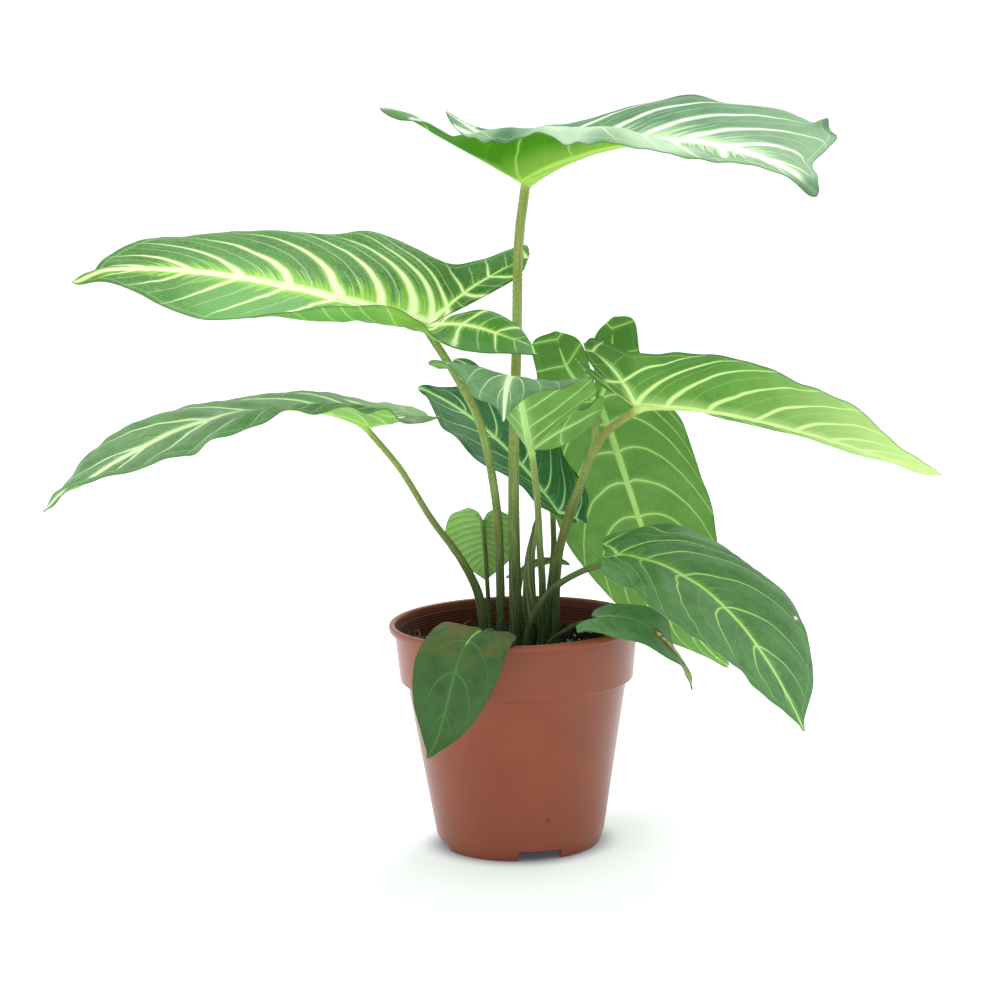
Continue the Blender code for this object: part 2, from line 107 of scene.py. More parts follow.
# Stems
SOLID_THICKNESS = 1.0  # of the blade's plain solid, under which its stem ends
SOLID_GAP = 0.3
STEM_SIDES = 20
STEM_STEPS = 16  # between two points of its path
STRAIGHT_STEM = 4.0  # how far it leaves the soil straight up
HAIR_LENGTH = 0.9
HAIR_RADIUS = 0.09
HAIR_SUNK = 0.3
HAIR_CROWD = 5.2  # hairs for each millimetre of a stem, times its radius
# The end under the blade: how far along the middle vein, and the share of the stem's radius there
STEM_UNDER_BLADE = ((0.03, 0.75), (0.07, 0.55), (0.13, 0.40), (0.21, 0.28), (0.32, 0.12))

# Half of a flat blade's edge, from the tip to beside the stem: where a side vein leaves the middle vein
# (0 at the tip, 1 at the stem), and where it meets the edge, in blade lengths and half widths
EDGE = (
    (0.00, 1.000, 0.00),
    (0.14, 0.945, 0.10),
    (0.34, 0.800, 0.44),
    (0.54, 0.620, 0.79),
    (0.74, 0.410, 0.98),
    (0.90, 0.230, 1.00),
    (1.00, 0.100, 0.95),
)


@dataclass
class Leaf:
    """One leaf. Pairs are (left, right), seen from above along the blade towards its tip."""

    name: str
    foot: tuple  # x, y where its stem leaves the soil
    stem: tuple  # points that the stem passes, from the soil up
    base: tuple  # x, y, z where the stem meets the blade
    stem_radius: tuple  # at the soil and at the blade
    length: float  # from the stem to the tip, along the blade
    half_width: tuple
    heading: float  # the way the blade points, turned from +X towards +Y
    pitch: tuple  # slope of the middle vein at the stem, halfway and at the tip
    bend: float = 0.0  # how far the heading turns by the tip
    roll: tuple = (0.0, 0.0)  # left side raised, at the stem and at the tip
    fold: tuple = (20.0, 20.0)  # rise of each half from the middle vein
    fold_kept: float = 0.4  # share of the fold left at the tip
    curl: tuple = (-20.0, -20.0)  # turn of each edge, up or down
    lobe: tuple = (50.0, 50.0)  # length of each lobe behind the stem
    spread: tuple = (38.0, 38.0)  # angle between each lobe and the way straight back
    lift: tuple = (30.0, 30.0)  # rise of each lobe
    droop: tuple = (0.0, 0.0)  # bend of each lobe back down
    waist: float = 0.84  # half width beside the stem
    blunt: float = 0.0  # roundness of the lobe tips
    wave: float = 1.5  # height of the waves in the edge
    waves: float = 4.0
    wave_start: float = 0.0
    rows: tuple = (12, 5)  # faces along the blade and along a lobe


LEAVES = (
    Leaf(
        "top", (0, -1), ((0, -1, 160), (1, -1, 220), (4, 0, 280), (6, 0, 330)), (10, 0, 365), (5.2, 3.0),
        219, (78, 75), -25, (29, -2, -14), bend=-45, roll=(0, 1), fold=(35, 41), fold_kept=0.12,
        curl=(-41, -97), lobe=(80, 80), spread=(40, 39), lift=(57, 64), waist=0.80, blunt=-0.1, wave=1.8,
        wave_start=0.64,
    ),
    Leaf(
        "upper_left", (-8.5, 2), ((-8, 2, 145), (-9, 0, 188), (-16, -1, 231), (-28, -3, 259)),
        (-44, -8, 290), (3.0, 2.6), 200, (78, 74), 186, (19, 13, -3), bend=33, roll=(-19, -28),
        fold=(13, 21), fold_kept=-0.95, curl=(72, -29), lobe=(62, 68), spread=(27, 37), lift=(39, 40),
        droop=(52, 0), waist=0.70, blunt=0.5, wave=1.2, wave_start=0.1,
    ),
    Leaf(
        "lower_left", (-17, -2), ((-20, -3, 140), (-30, -5, 162), (-45, -6, 184), (-61, -8, 212)),
        (-77, -10, 236), (4.6, 2.0), 197, (55, 55), 197, (27, -13, -28), bend=20, roll=(-5, -5),
        fold=(21, 15), fold_kept=-0.15, curl=(-20, -64), lobe=(41, 43), spread=(43, 30), lift=(50, 49),
        droop=(36, 50), wave=0.9, wave_start=0.94,
    ),
    Leaf(
        "right", (21, -4), ((23, -4, 151), (27, -4, 173), (36, -5, 199), (50, -5, 227)), (68, -5, 243),
        (3.5, 2.5), 171, (47, 47), 0, (-1, -16, -18), bend=-5, roll=(-32, -32), fold=(36, 23),
        fold_kept=0.27, lobe=(49, 48), spread=(32, 50), lift=(44, 25), wave=1.3, wave_start=0.86,
    ),
    Leaf(
        "rear", (17, 3), ((19.5, 5, 138), (25.5, 6, 165), (35, 12, 190), (45.5, 34, 216)), (50, 66, 236),
        (3.5, 2.6), 187, (49, 48), 32, (-65, -68, -38), bend=-6, roll=(-26, -32), fold=(-10, 10),
        fold_kept=0.4, curl=(-21, -22), lobe=(49, 49), spread=(20, 22), lift=(19, 17), droop=(-4, -13),
        waist=0.73, blunt=0.3, wave=1.3, wave_start=0.18,
    ),
    Leaf(
        "lower_right", (6, -10), ((9, -15, 128), (20, -19, 145), (37, -18, 155)), (56, -18, 163), (2.8, 2.0),
        160, (54, 55), -31, (1, -33, -45), bend=-34, roll=(1, -18), fold=(16, 7), fold_kept=0.26,
        curl=(-28, -24), lobe=(17, 16), spread=(34, 60), lift=(8, 8), waist=0.85, wave=1.1, wave_start=0.87,
    ),
    Leaf(
        "front", (14, -6), ((15, -11, 146), (14, -20, 170), (13, -32, 198)), (10, -50, 227), (2.8, 2.1), 136,
        (40, 47), -96, (22, 32, -70), bend=-2, roll=(16, -23), fold=(26, 70), fold_kept=-0.44,
        curl=(12, -35), lobe=(60, 68), spread=(56, 59), lift=(-20, 82), blunt=-0.4, wave=1.8,
        wave_start=0.95,
    ),
    Leaf(
        "inner", (17, 12), ((19, 18, 135), (22, 26, 158)), (24, 33, 179), (2.8, 1.9), 110, (37, 38), 154,
        (54, 40, 19), bend=2, roll=(19, -28), fold=(7, 29), fold_kept=0.5, curl=(-23, -15), lobe=(18, 18),
        spread=(50, 50), lift=(10, 10), waist=0.85, wave=1.6, rows=(10, 3),
    ),
    Leaf(
        "right_rim", (18, -12.5), ((25, -18, 121), (35, -23, 127)), (44, -28, 131), (1.8, 1.4), 76, (25, 25),
        -32, (15, -30, -80), roll=(5, -14), fold=(8, -3), curl=(-17, -24), lobe=(10, 10), spread=(50, 50),
        lift=(5, 5), waist=0.85, wave=0.8, waves=3, rows=(9, 3),
    ),
    Leaf(
        "front_rim", (-9, -12), ((-12, -30, 124), (-15, -43, 128)), (-18, -54, 130), (2.2, 1.6), 91,
        (24, 23), -118, (13, -56, -14), bend=5, roll=(-2, -21), fold=(2, 9), lobe=(10, 10), spread=(45, 45),
        lift=(8, 8), waist=0.85, wave=0.6, rows=(10, 3),
    ),
    Leaf(
        "small_rear", (-14, 10), ((-15, 16, 135), (-16, 24, 158)), (-17, 34, 175), (1.8, 1.4), 37, (23, 20),
        85, (-68, -78, -79), roll=(4, 0), fold=(18, 18), lobe=(8, 8), spread=(45, 45), lift=(10, 10),
        waist=0.85, wave=0.5, waves=2, rows=(8, 3),
    ),
    Leaf(
        "smallest", (0, 12), ((1, 20, 123), (2, 30, 132)), (3, 38, 143), (1.6, 1.2), 32, (11, 11), 20,
        (35, 5, -20), roll=(-20, -20), fold=(20, 20), lobe=(9, 9), spread=(45, 45), lift=(20, 20),
        waist=0.85, wave=0.4, waves=2, rows=(7, 3),
    ),
)

# The rolled new leaf: its axis, and its radius at each point
SPEAR_FOOT = (8.0, 6.0)
SPEAR_AXIS = ((8, 5, 135), (9, 3, 160), (15, 1, 189))
SPEAR_RADII = (4.2, 4.6, 4.4, 3.2, 1.0)
SPEAR_TOP_RADIUS = 0.3
SPEAR_SIDES = 48


@dataclass
class Look:
    """The colours and veins of one blade. Colours are linear, and widths are in millimetres."""

    green: tuple  # upper side between the veins
    glow: tuple  # upper side beside the veins
    pale: tuple  # upper side on the veins
    # The underside's colours are its own yellow green made brighter, as painted light that shines through the
    # blade from behind
    under: tuple = (0.14, 0.35, 0.055)
    under_pale: tuple = (0.44, 0.72, 0.17)
    rib: float = 2.6  # half width of the middle vein's pale band at the stem
    vein: tuple = (1.4, 1.4)  # half width of a side vein's band where it leaves the middle vein, in each half
    under_vein: float = 0.6  # the same below
    halo: float = 12.0  # reach of the glow from the middle vein
    minor: float = 0.4  # strength of the thin veins between
    veins: float = 7.2  # side veins in a half blade
    crowd: float = 1.0  # more of them beside the stem
    tip_crowd: float = 0.0  # and towards the tip
    lean: tuple = (0.12, 0.12)  # how squarely a side vein leaves the middle vein, in each half
    arch: tuple = (0.12, 0.12)  # how far it bends towards the tip, in each half
    lobe_veins: float = 3.5
    quilt: float = 0.35  # rise of the blade between its side veins
    tip_light: float = 0.0  # how much paler the blade is at its tip
    edge: tuple = (0.055, 0.075, 0.035)
    blush: float = 0.0  # red tint beside the stem
    lobe_share: float = 1.0  # how much of the veins' strength is left in the lobes
    under_share: float = 1.0  # strength of the side veins below
    slit: bool = False  # a torn place beside the middle vein, brown at its edges, and a yellow tip
    mesh: float = 0.18  # strength of the finest veins
    shine: float = 0.12
    brown: float = 0.35  # how brown the stem is


DEEP = (0.080, 0.212, 0.068)
MID = (0.044, 0.190, 0.026)
LIME = (0.34, 0.68, 0.11)
WHITE = (0.84, 0.98, 0.52)
CREAM = (0.46, 0.74, 0.28)

LOOKS = {
    # On the top leaf the paler tip (tip_light) and the pale marks on its near half are painted sheen.
    "top": Look(
        (0.082, 0.220, 0.095), (0.60, 0.86, 0.50), (0.92, 1.0, 0.80), rib=7.0, vein=(3.9, 3.9), halo=34,
        under=(0.085, 0.30, 0.012), under_pale=(0.60, 0.90, 0.18), under_vein=0.7, under_share=0.5,
        veins=6.5, crowd=0.0, lean=(0.0, 0.0), arch=(0.26, 0.26), lobe_veins=1.4, minor=0.25, tip_light=0.35,
        mesh=0.05, shine=0.05,
    ),
    "upper_left": Look(
        MID, (0.38, 0.74, 0.07), WHITE, rib=6.0, vein=(1.5, 3.0), halo=24, minor=0.35, crowd=1.2,
        lean=(-0.17, 0.17), arch=(0.20, 0.10), lobe_veins=3.0, lobe_share=0.35, under=(0.24, 0.46, 0.05),
    ),
    "lower_left": Look(
        (0.125, 0.285, 0.105), (0.36, 0.60, 0.22), (0.84, 1.0, 0.60), rib=5.6, vein=(2.6, 2.6), halo=15,
        minor=0.2, veins=5.2, crowd=0.6, lean=(-0.05, 0.0), arch=(0.22, 0.20), lobe_veins=3.0,
        lobe_share=0.4, quilt=1.2, under=(0.22, 0.46, 0.08), shine=0.25,
    ),
    "right": Look(
        MID, LIME, WHITE, rib=4.0, vein=(2.2, 2.2), halo=12, under=(0.14, 0.335, 0.06),
        under_pale=(0.72, 0.95, 0.34), under_vein=1.6, minor=0.35, veins=6.0, crowd=0.6, quilt=0.9,
        brown=0.65, lean=(0.0, 0.0), arch=(0.18, 0.16), tip_light=0.85, tip_crowd=2.6, lobe_veins=1.6,
        lobe_share=0.5,
    ),
    "rear": Look(
        MID, LIME, WHITE, rib=3.6, vein=(1.8, 1.8), halo=2.5, under=(0.165, 0.37, 0.078),
        under_pale=(0.55, 0.86, 0.25), under_vein=0.45, minor=0.08, lean=(0.24, 0.24), arch=(0.10, 0.10),
        veins=9.0, crowd=0.5, lobe_veins=3.0, lobe_share=0.35,
    ),
    "lower_right": Look(
        DEEP, (0.19, 0.42, 0.08), (0.50, 0.80, 0.26), rib=1.7, vein=(0.4, 0.4), halo=6, minor=0.12,
        lean=(0.08, 0.12), arch=(0.24, 0.24), veins=5.2, crowd=0.6, lobe_veins=0.7, quilt=1.3,
        edge=(0.11, 0.20, 0.10), shine=0.25,
    ),
    "front": Look(
        (0.12, 0.27, 0.11), (0.40, 0.62, 0.28), (0.72, 0.92, 0.54), rib=3.6, vein=(0.1, 0.1), halo=8,
        minor=0.03, under=(0.15, 0.33, 0.065), under_pale=(0.44, 0.70, 0.22), under_vein=0.5, veins=8.0,
        crowd=0.4, lean=(0.05, 0.05), lobe_veins=0.8, lobe_share=0.5, mesh=0.08,
    ),
    "inner": Look(
        (0.034, 0.135, 0.048), (0.14, 0.35, 0.11), (0.50, 0.78, 0.34), rib=2.0, vein=(0.35, 0.35), halo=5,
        minor=0.12, veins=5.0, crowd=0.5, lean=(0.05, 0.05), arch=(0.20, 0.20), lobe_veins=0.8,
    ),
    "right_rim": Look(
        (0.145, 0.300, 0.135), (0.17, 0.34, 0.15), (0.23, 0.42, 0.19), rib=0.7, vein=(0.25, 0.25), halo=4,
        minor=0.06, veins=4.5, crowd=0.4, arch=(0.2, 0.2), lobe_veins=0.6, slit=True,
    ),
    "front_rim": Look(
        (0.050, 0.120, 0.036), (0.062, 0.145, 0.044), (0.090, 0.20, 0.058), rib=0.6, vein=(0.2, 0.2), halo=4,
        minor=0.04, veins=4.0, crowd=0.3, arch=(0.22, 0.22), lobe_veins=0.6, blush=0.8,
    ),
    "small_rear": Look(
        MID, LIME, CREAM, rib=0.9, vein=(0.25, 0.25), halo=3, minor=0.3, veins=11.0, crowd=0.0,
        lobe_veins=2.0, under=(0.36, 0.62, 0.18), under_pale=(0.22, 0.46, 0.11), under_vein=0.15,
        lean=(0.0, 0.0),
    ),
    "smallest": Look(
        (0.05, 0.17, 0.05), (0.10, 0.28, 0.07), (0.25, 0.48, 0.14), rib=0.8, vein=(0.3, 0.3), halo=3,
        minor=0.1, veins=4.0, lobe_veins=1.0,
    ),
}

# Spots on both sides of a blade, under its veins: a place on the flat blade (x towards the tip, y to the
# left), the spot's radius, its colour and its strength. On the top leaf the first spot is painted shade on
# its far flap.
SPOTS_AND_PAINTED_SHADE = {
    # The top leaf's first spot is painted shade on its far flap.
    "top": ((66, 76, 24, (0.07, 0.16, 0.07), 0.75), (166, 44, 8, (0.07, 0.16, 0.09), 0.7)),
    "upper_left": ((90, 45, 90, (0.16, 0.44, 0.10), 0.75), (-35, 30, 40, (0.10, 0.33, 0.05), 0.6)),
    "rear": ((-38, 18, 26, (0.085, 0.25, 0.04), 0.6), (-38, -18, 26, (0.085, 0.25, 0.04), 0.6)),
    "lower_right": ((4, -40, 30, (0.15, 0.32, 0.13), 0.6),),
    "right": ((-25, -30, 34, (0.075, 0.21, 0.045), 0.55), (25, -40, 26, (0.075, 0.21, 0.045), 0.45)),
}

# The same on the upper side, over its veins. On the top leaf some are painted light: shade on the far flap
# and sheen on the near half.
MARKS_AND_PAINTED_LIGHT = {
    "top": (
        # The first mark is painted shade on the far flap; the pale ones at negative y are painted sheen on
        # the near half.
        (62, 80, 22, (0.05, 0.13, 0.05), 0.9), (217, 0, 21, (0.07, 0.22, 0.10), 0.85),
        (158, 50, 8, (0.08, 0.17, 0.10), 0.8), (-50, -66, 26, (0.09, 0.22, 0.05), 0.85),
        (78, -58, 40, (0.68, 0.88, 0.62), 0.65), (12, -60, 22, (0.50, 0.72, 0.44), 0.4),
        (125, -40, 34, (0.68, 0.88, 0.60), 0.55), (45, -62, 9, (0.16, 0.34, 0.20), 0.6),
        (-8, -64, 8, (0.12, 0.28, 0.16), 0.6), (-28, -62, 7, (0.80, 0.92, 0.76), 0.6),
    ),
    "lower_left": ((-25, -25, 34, (0.24, 0.44, 0.16), 0.8), (-25, 25, 34, (0.25, 0.46, 0.15), 0.8)),
    "lower_right": ((90, 41, 2.6, (0.30, 0.26, 0.10), 0.9), (90, 41, 1.7, (0.86, 0.90, 0.66), 1.0)),
    "right_rim": ((80, 0, 24, (0.42, 0.44, 0.09), 0.95),),
}

# Bends that are too small for the solids: a place on the flat blade (with y 0 for both halves), the reach
# of the bend, how far the blade rises there and, for some, how far it moves along +X and +Y
BENDS = {
    "top": (
        (20, 73, 17, -7.5), (90, 77, 15, -6.5), (64, 78, 9, 2.5), (190, 23, 12, 0, -6, 0),
        (168, 40, 9, 0, 5, 0), (154, 50, 6, 5, 2, 0), (217, 0, 12, -4, 2, 0), (-50, -67, 13, 1, 6, 0),
        (-38, -67, 18, 5), (-20, -64, 15, 9), (0, -60, 13, 3), (-62, -48, 12, -2), (55, -50, 20, -4.5),
        (78, -50, 16, -2), (62, -73, 14, 4), (38, -74, 25, -4), (143, -56, 25, -4), (45, -40, 24, -4),
        (85, -35, 28, -5), (125, -30, 28, -6), (155, -22, 20, -4), (-52, 66, 16, -5),
    ),
    "upper_left": (
        (32, -74, 13, 5), (-32, 6, 20, 6.5), (-34, 51, 27, -7.5), (198, 0, 9, -5, -3, 0),
        (186, -12, 9, -3.5), (25, 76, 16, -2), (12, 46, 15, 4.5), (42, 50, 14, 3),
    ),
    "lower_left": (
        (59, -25, 30, -6), (62, -55, 25, -1.5), (74, 55, 20, 4), (178, 12, 14, 5), (160, 22, 10, 2),
        (184, 0, 9, 2.5), (188, 8, 9, 6, -4, 0), (-30, 28, 12, 0, -4, 0), (-35, -22, 14, -3),
        (139, 36, 9, 4.5), (120, 45, 6, -3), (85, 53, 10, -2.5),
    ),
    "right": ((108, 36, 18, 3.5),),
    "right_rim": (
        (58, 14, 13, 0, -5, 0), (44, 18, 13, -1, -5, -1), (64, -10, 8, 2, 3, 0), (70, 3, 6, -2, 2, 0),
    ),
    "lower_right": ((-4, -40, 26, -3, 15, 0), (30, -54, 22, -5, 8, 0)),
    "front": (
        (87, -36, 14, 0.5, -8, 0), (118, -14, 10, -1, -2.5, 0), (38, -47, 24, 4, 4, 0),
        (5, -44, 16, 4, 4, 0), (-26, -58, 16, 2, 7, 0),
    ),
}

# Height and length of the small waves in each large blade's edge
FRILLS = {
    "top": (1.6, 22), "upper_left": (1.2, 26), "lower_left": (3.0, 20), "right": (1.0, 24), "rear": (0.8, 26),
    "lower_right": (1.5, 20), "front": (0.9, 20), "inner": (0.8, 18),
}


# Shapes

def unit(vectors):
    """The vectors drawn out or shrunk to length 1."""
    return vectors / np.maximum(np.linalg.norm(vectors, axis=-1, keepdims=True), 1e-9)


def round_angles(sides):
    """The angles of places evenly spread round a circle."""
    return np.arange(sides) * 2 * math.pi / sides


def way(angle):
    """The level direction at this angle from +X."""
    return np.array([math.cos(angle), math.sin(angle), 0])


def read_at(places, known, rows):
    """Rows that are known at some places of a line, read between them at other places."""
    return np.stack([np.interp(places, known, column) for column in rows.T], axis=-1)


def distance_along(line):
    """How far each point of a line is from its first, along the line."""
    return np.concatenate([[0], np.cumsum(np.linalg.norm(np.diff(line, axis=0), axis=1))])


def even_places(line, count):
    """Places the same distance apart along a line of points."""
    travelled = distance_along(line)
    return read_at(np.linspace(0, travelled[-1], count), travelled, line)


def curve_through(points, count):
    """Places along a smooth curve through the points: between two of them a cubic, whose slope at each is
    half the step between the points beside it."""
    knots = np.vstack([2 * points[0] - points[1], points, 2 * points[-1] - points[-2]])
    along = np.linspace(0, len(points) - 1, count)
    first = np.minimum(along.astype(int), len(points) - 2)
    part = (along - first)[:, None]
    a, b, c, d = (knots[first + step] for step in range(4))
    curved = 2 * a - 5 * b + 4 * c - d + part * (3 * (b - c) + d - a)
    return b + 0.5 * part * (c - a + part * curved)


def ripples(places, wavelength, seed, waves=9):
    """Smooth unevenness from -1 to 1: the mean of sine waves in random directions of about this
    wavelength."""
    draw = np.random.default_rng(seed)
    directions = unit(draw.normal(size=(waves, places.shape[-1])))
    numbers = 2 * math.pi / wavelength * draw.uniform(0.6, 1.6, waves)
    turns = draw.uniform(0, 2 * math.pi, waves)
    return np.sin(places @ (directions * numbers[:, None]).T + turns).mean(axis=-1) * 1.6


def mesh_object(name, points, faces):
    """An object at the origin with this mesh, its points in metres."""
    mesh = bpy.data.meshes.new(name)
    mesh.from_pydata(np.asarray(points, float).tolist(), [], [tuple(face) for face in faces])
    made = bpy.data.objects.new(name, mesh)
    bpy.context.scene.collection.objects.link(made)
    return made


def make_piece(name, points, faces, finish, nodes=(), fields=None, sharp=40):
    """Puts a mesh down in metres, with a value at each point for its finish, and lets it ride with the
    pot."""
    piece = mesh_object(name, np.clip(np.asarray(points, float) * METRES, *solids_box), faces)
    mesh = piece.data
    mesh.validate()
    mesh.shade_smooth()
    mesh.set_sharp_from_angle(angle=math.radians(sharp))
    for key, values in (fields or {}).items():
        values = np.asarray(values, np.float32)
        kind, entry = ("FLOAT_VECTOR", "vector") if values.ndim == 2 else ("FLOAT", "value")
        mesh.attributes.new(key, kind, "POINT").data.foreach_set(entry, values.ravel())
    mesh.materials.append(finish)
    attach(piece, BODY)
    if nodes:
        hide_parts(*nodes)
    return piece


def grid_rows(leaf):
    """Faces of the dressed blade along the blade and along a lobe."""
    return [FINER * count for count in leaf.rows]


def flat_edges(leaf, side):
    """The inner and outer edge of one flat half blade, from the tip to the lobe's tip, as rows of (x, y).

    The outer edge is a smooth curve through EDGE, the waist, two points that bulge behind it and the lobe's
    tip. The inner one is the middle vein, and then a smooth curve down the cleft.
    """
    length, width, lobe, blunt = leaf.length, leaf.half_width[side], leaf.lobe[side], leaf.blunt
    rows, lobe_rows = grid_rows(leaf)
    angle = math.radians(leaf.spread[side])
    lobe_tip = lobe * np.array([-math.cos(angle), math.sin(angle)])
    across = np.array([math.sin(angle), math.cos(angle)])

    veins, forward, outward = np.array(EDGE).T
    main = np.stack([forward * length, outward * width], axis=1)
    beside = np.array([-0.01 * length, leaf.waist * width])
    span = lobe_tip - beside
    bulge = lobe * unit(np.array([-abs(span[1]), abs(span[0])]))
    shoulder = beside + 0.42 * span + 0.12 * bulge
    corner = beside + (0.80 + 0.06 * blunt) * span + (0.20 + 0.16 * blunt) * bulge
    outline = np.vstack([main, beside, shoulder, corner, lobe_tip])
    edge = curve_through(outline, EDGE_STEPS * (len(outline) - 1) + 1)
    knots = EDGE_STEPS * np.interp(np.linspace(0, 1, rows + 1), veins, np.arange(len(veins)))
    outer = read_at(knots, np.arange(len(edge)), edge)
    outer_lobe = even_places(edge[EDGE_STEPS * (len(main) - 1):], lobe_rows + 1)

    inner = np.stack([length * np.linspace(1, 0, rows + 1), np.zeros(rows + 1)], axis=1)
    near = 0.30 * lobe_tip - 0.10 * lobe * across
    far = (0.70 + 0.10 * blunt) * lobe_tip - (0.15 + 0.10 * blunt) * lobe * across
    cleft = curve_through(np.vstack([np.zeros(2), near, far, lobe_tip]), 3 * EDGE_STEPS + 1)
    return np.vstack([inner, even_places(cleft, lobe_rows + 1)[1:]]), np.vstack([outer, outer_lobe[1:]])


def middle_vein(leaf):
    """Places along the middle vein with its direction, its left and its upper side at each. Its slope is the
    parabola through the three of the leaf's pitch, and its heading and roll change evenly."""
    share = np.linspace(0, 1, VEIN_PLACES)
    first, half, last = np.radians(leaf.pitch)
    pitch = (
        first * (1 - share) * (1 - 2 * share)
        + 4 * half * share * (1 - share)
        + last * share * (2 * share - 1)
    )
    heading = np.radians(leaf.heading + leaf.bend * share)
    roll = np.radians(leaf.roll[0] + (leaf.roll[1] - leaf.roll[0]) * share)[:, None]
    level = np.stack([np.cos(heading), np.sin(heading), 0 * heading], axis=1)
    along = level * np.cos(pitch)[:, None] + np.array([0, 0, 1]) * np.sin(pitch)[:, None]
    left = np.stack([-np.sin(heading), np.cos(heading), 0 * heading], axis=1)
    upper = np.cross(along, left)
    rolled_left = left * np.cos(roll) + upper * np.sin(roll)
    rolled_upper = upper * np.cos(roll) - left * np.sin(roll)
    steps = (along[1:] + along[:-1]) / 2 * leaf.length / (VEIN_PLACES - 1)
    places = np.array(leaf.base) + np.vstack([np.zeros(3), np.cumsum(steps, axis=0)])
    return share, places, along, rolled_left, rolled_upper


def vein_fields(leaf, side, flat, out, width):
    """What the veins need at each place of a flat half blade.

    A side vein is where the number is whole. The number falls from the tip to the stem, and its lines leave
    the middle vein squarely and arch towards the tip. It falls on down the lobe, where its lines leave the
    lobe's own vein and slant towards the lobe's tip. The rib is the middle vein, or the lobe's own vein, a
    shallow arc from the stem to near the lobe's tip.
    """
    look = LOOKS[leaf.name]
    rows, lobe_rows = grid_rows(leaf)
    row = np.arange(rows + lobe_rows + 1)[:, None]
    from_stem = np.clip(1 - row / rows, 0, 1)
    down_lobe = np.clip(row - rows, 0, None) / lobe_rows
    length, lobe = leaf.length, leaf.lobe[side]
    lean = look.lean[side]
    bent = lean * out - (lean + look.arch[side]) * out ** 2
    place = from_stem - down_lobe * lobe / length + bent * (1 - 0.6 * down_lobe) * (1 - 0.85 * from_stem ** 4)
    x, y = flat[..., 0], flat[..., 1]
    angle = math.radians(leaf.spread[side])
    down = (-x * math.cos(angle) + y * math.sin(angle)) / lobe
    bow = LOBE_BOW * lobe * np.sin(math.pi * np.clip(down, 0, 1))
    from_vein = x * math.sin(angle) + y * math.cos(angle) - bow
    share = np.clip(down_lobe / 0.5, 0, 1)
    share = share ** 2 * (3 - 2 * share)
    place = place * (1 - share) - (down * lobe - LOBE_SLANT * np.abs(from_vein)) / length * share

    reach = CROWD_REACH
    ahead, behind = np.clip(place, 0, None), np.clip(-place, 0, None)
    rate = look.veins + look.crowd / reach
    lobe_rate = look.lobe_veins * length / lobe
    number = look.veins * ahead + look.crowd * (1 - np.exp(-ahead / reach)) + look.tip_crowd * ahead ** 3
    number = number - lobe_rate * behind - (rate - lobe_rate) * reach * (1 - np.exp(-behind / reach))
    rate_ahead = look.veins + look.crowd / reach * np.exp(-ahead / reach) + 3 * look.tip_crowd * ahead ** 2
    rate = np.where(place > 0, rate_ahead, lobe_rate + (rate - lobe_rate) * np.exp(-behind / reach))

    to_lobe_vein = np.hypot(from_vein, lobe * np.maximum(-down, 0)) * 1.5
    to_middle = np.hypot(y, np.minimum(x, 0))
    rib = np.minimum(to_middle, to_lobe_vein)
    along = np.where(to_middle <= to_lobe_vein, np.clip(x / length, 0, 1), np.clip(down, 0, 1))
    margin = np.minimum((1 - out) * width, np.where(down_lobe > 0, out * width, np.inf))
    return number, length / rate, rib, along, margin


def bends_at(leaf, sign, x, y):
    """The sum of the leaf's bends at each place: each falls off as a bell curve of the distance to its
    place, and a bend in one half fades out at the middle vein."""
    moved = np.zeros((*x.shape, 3))
    for from_x, from_y, reach, rise, *aside in BENDS.get(leaf.name, ()):
        if from_y * sign < 0:
            continue
        share = np.exp(-((x - from_x) ** 2 + (y * sign - from_y) ** 2) / reach ** 2)
        if from_y:
            share *= np.clip((y + np.maximum(-x, 0)) / 10, 0, 1)
        moved += share[..., None] * np.array([*(aside or (0, 0)), rise], float)
    return moved


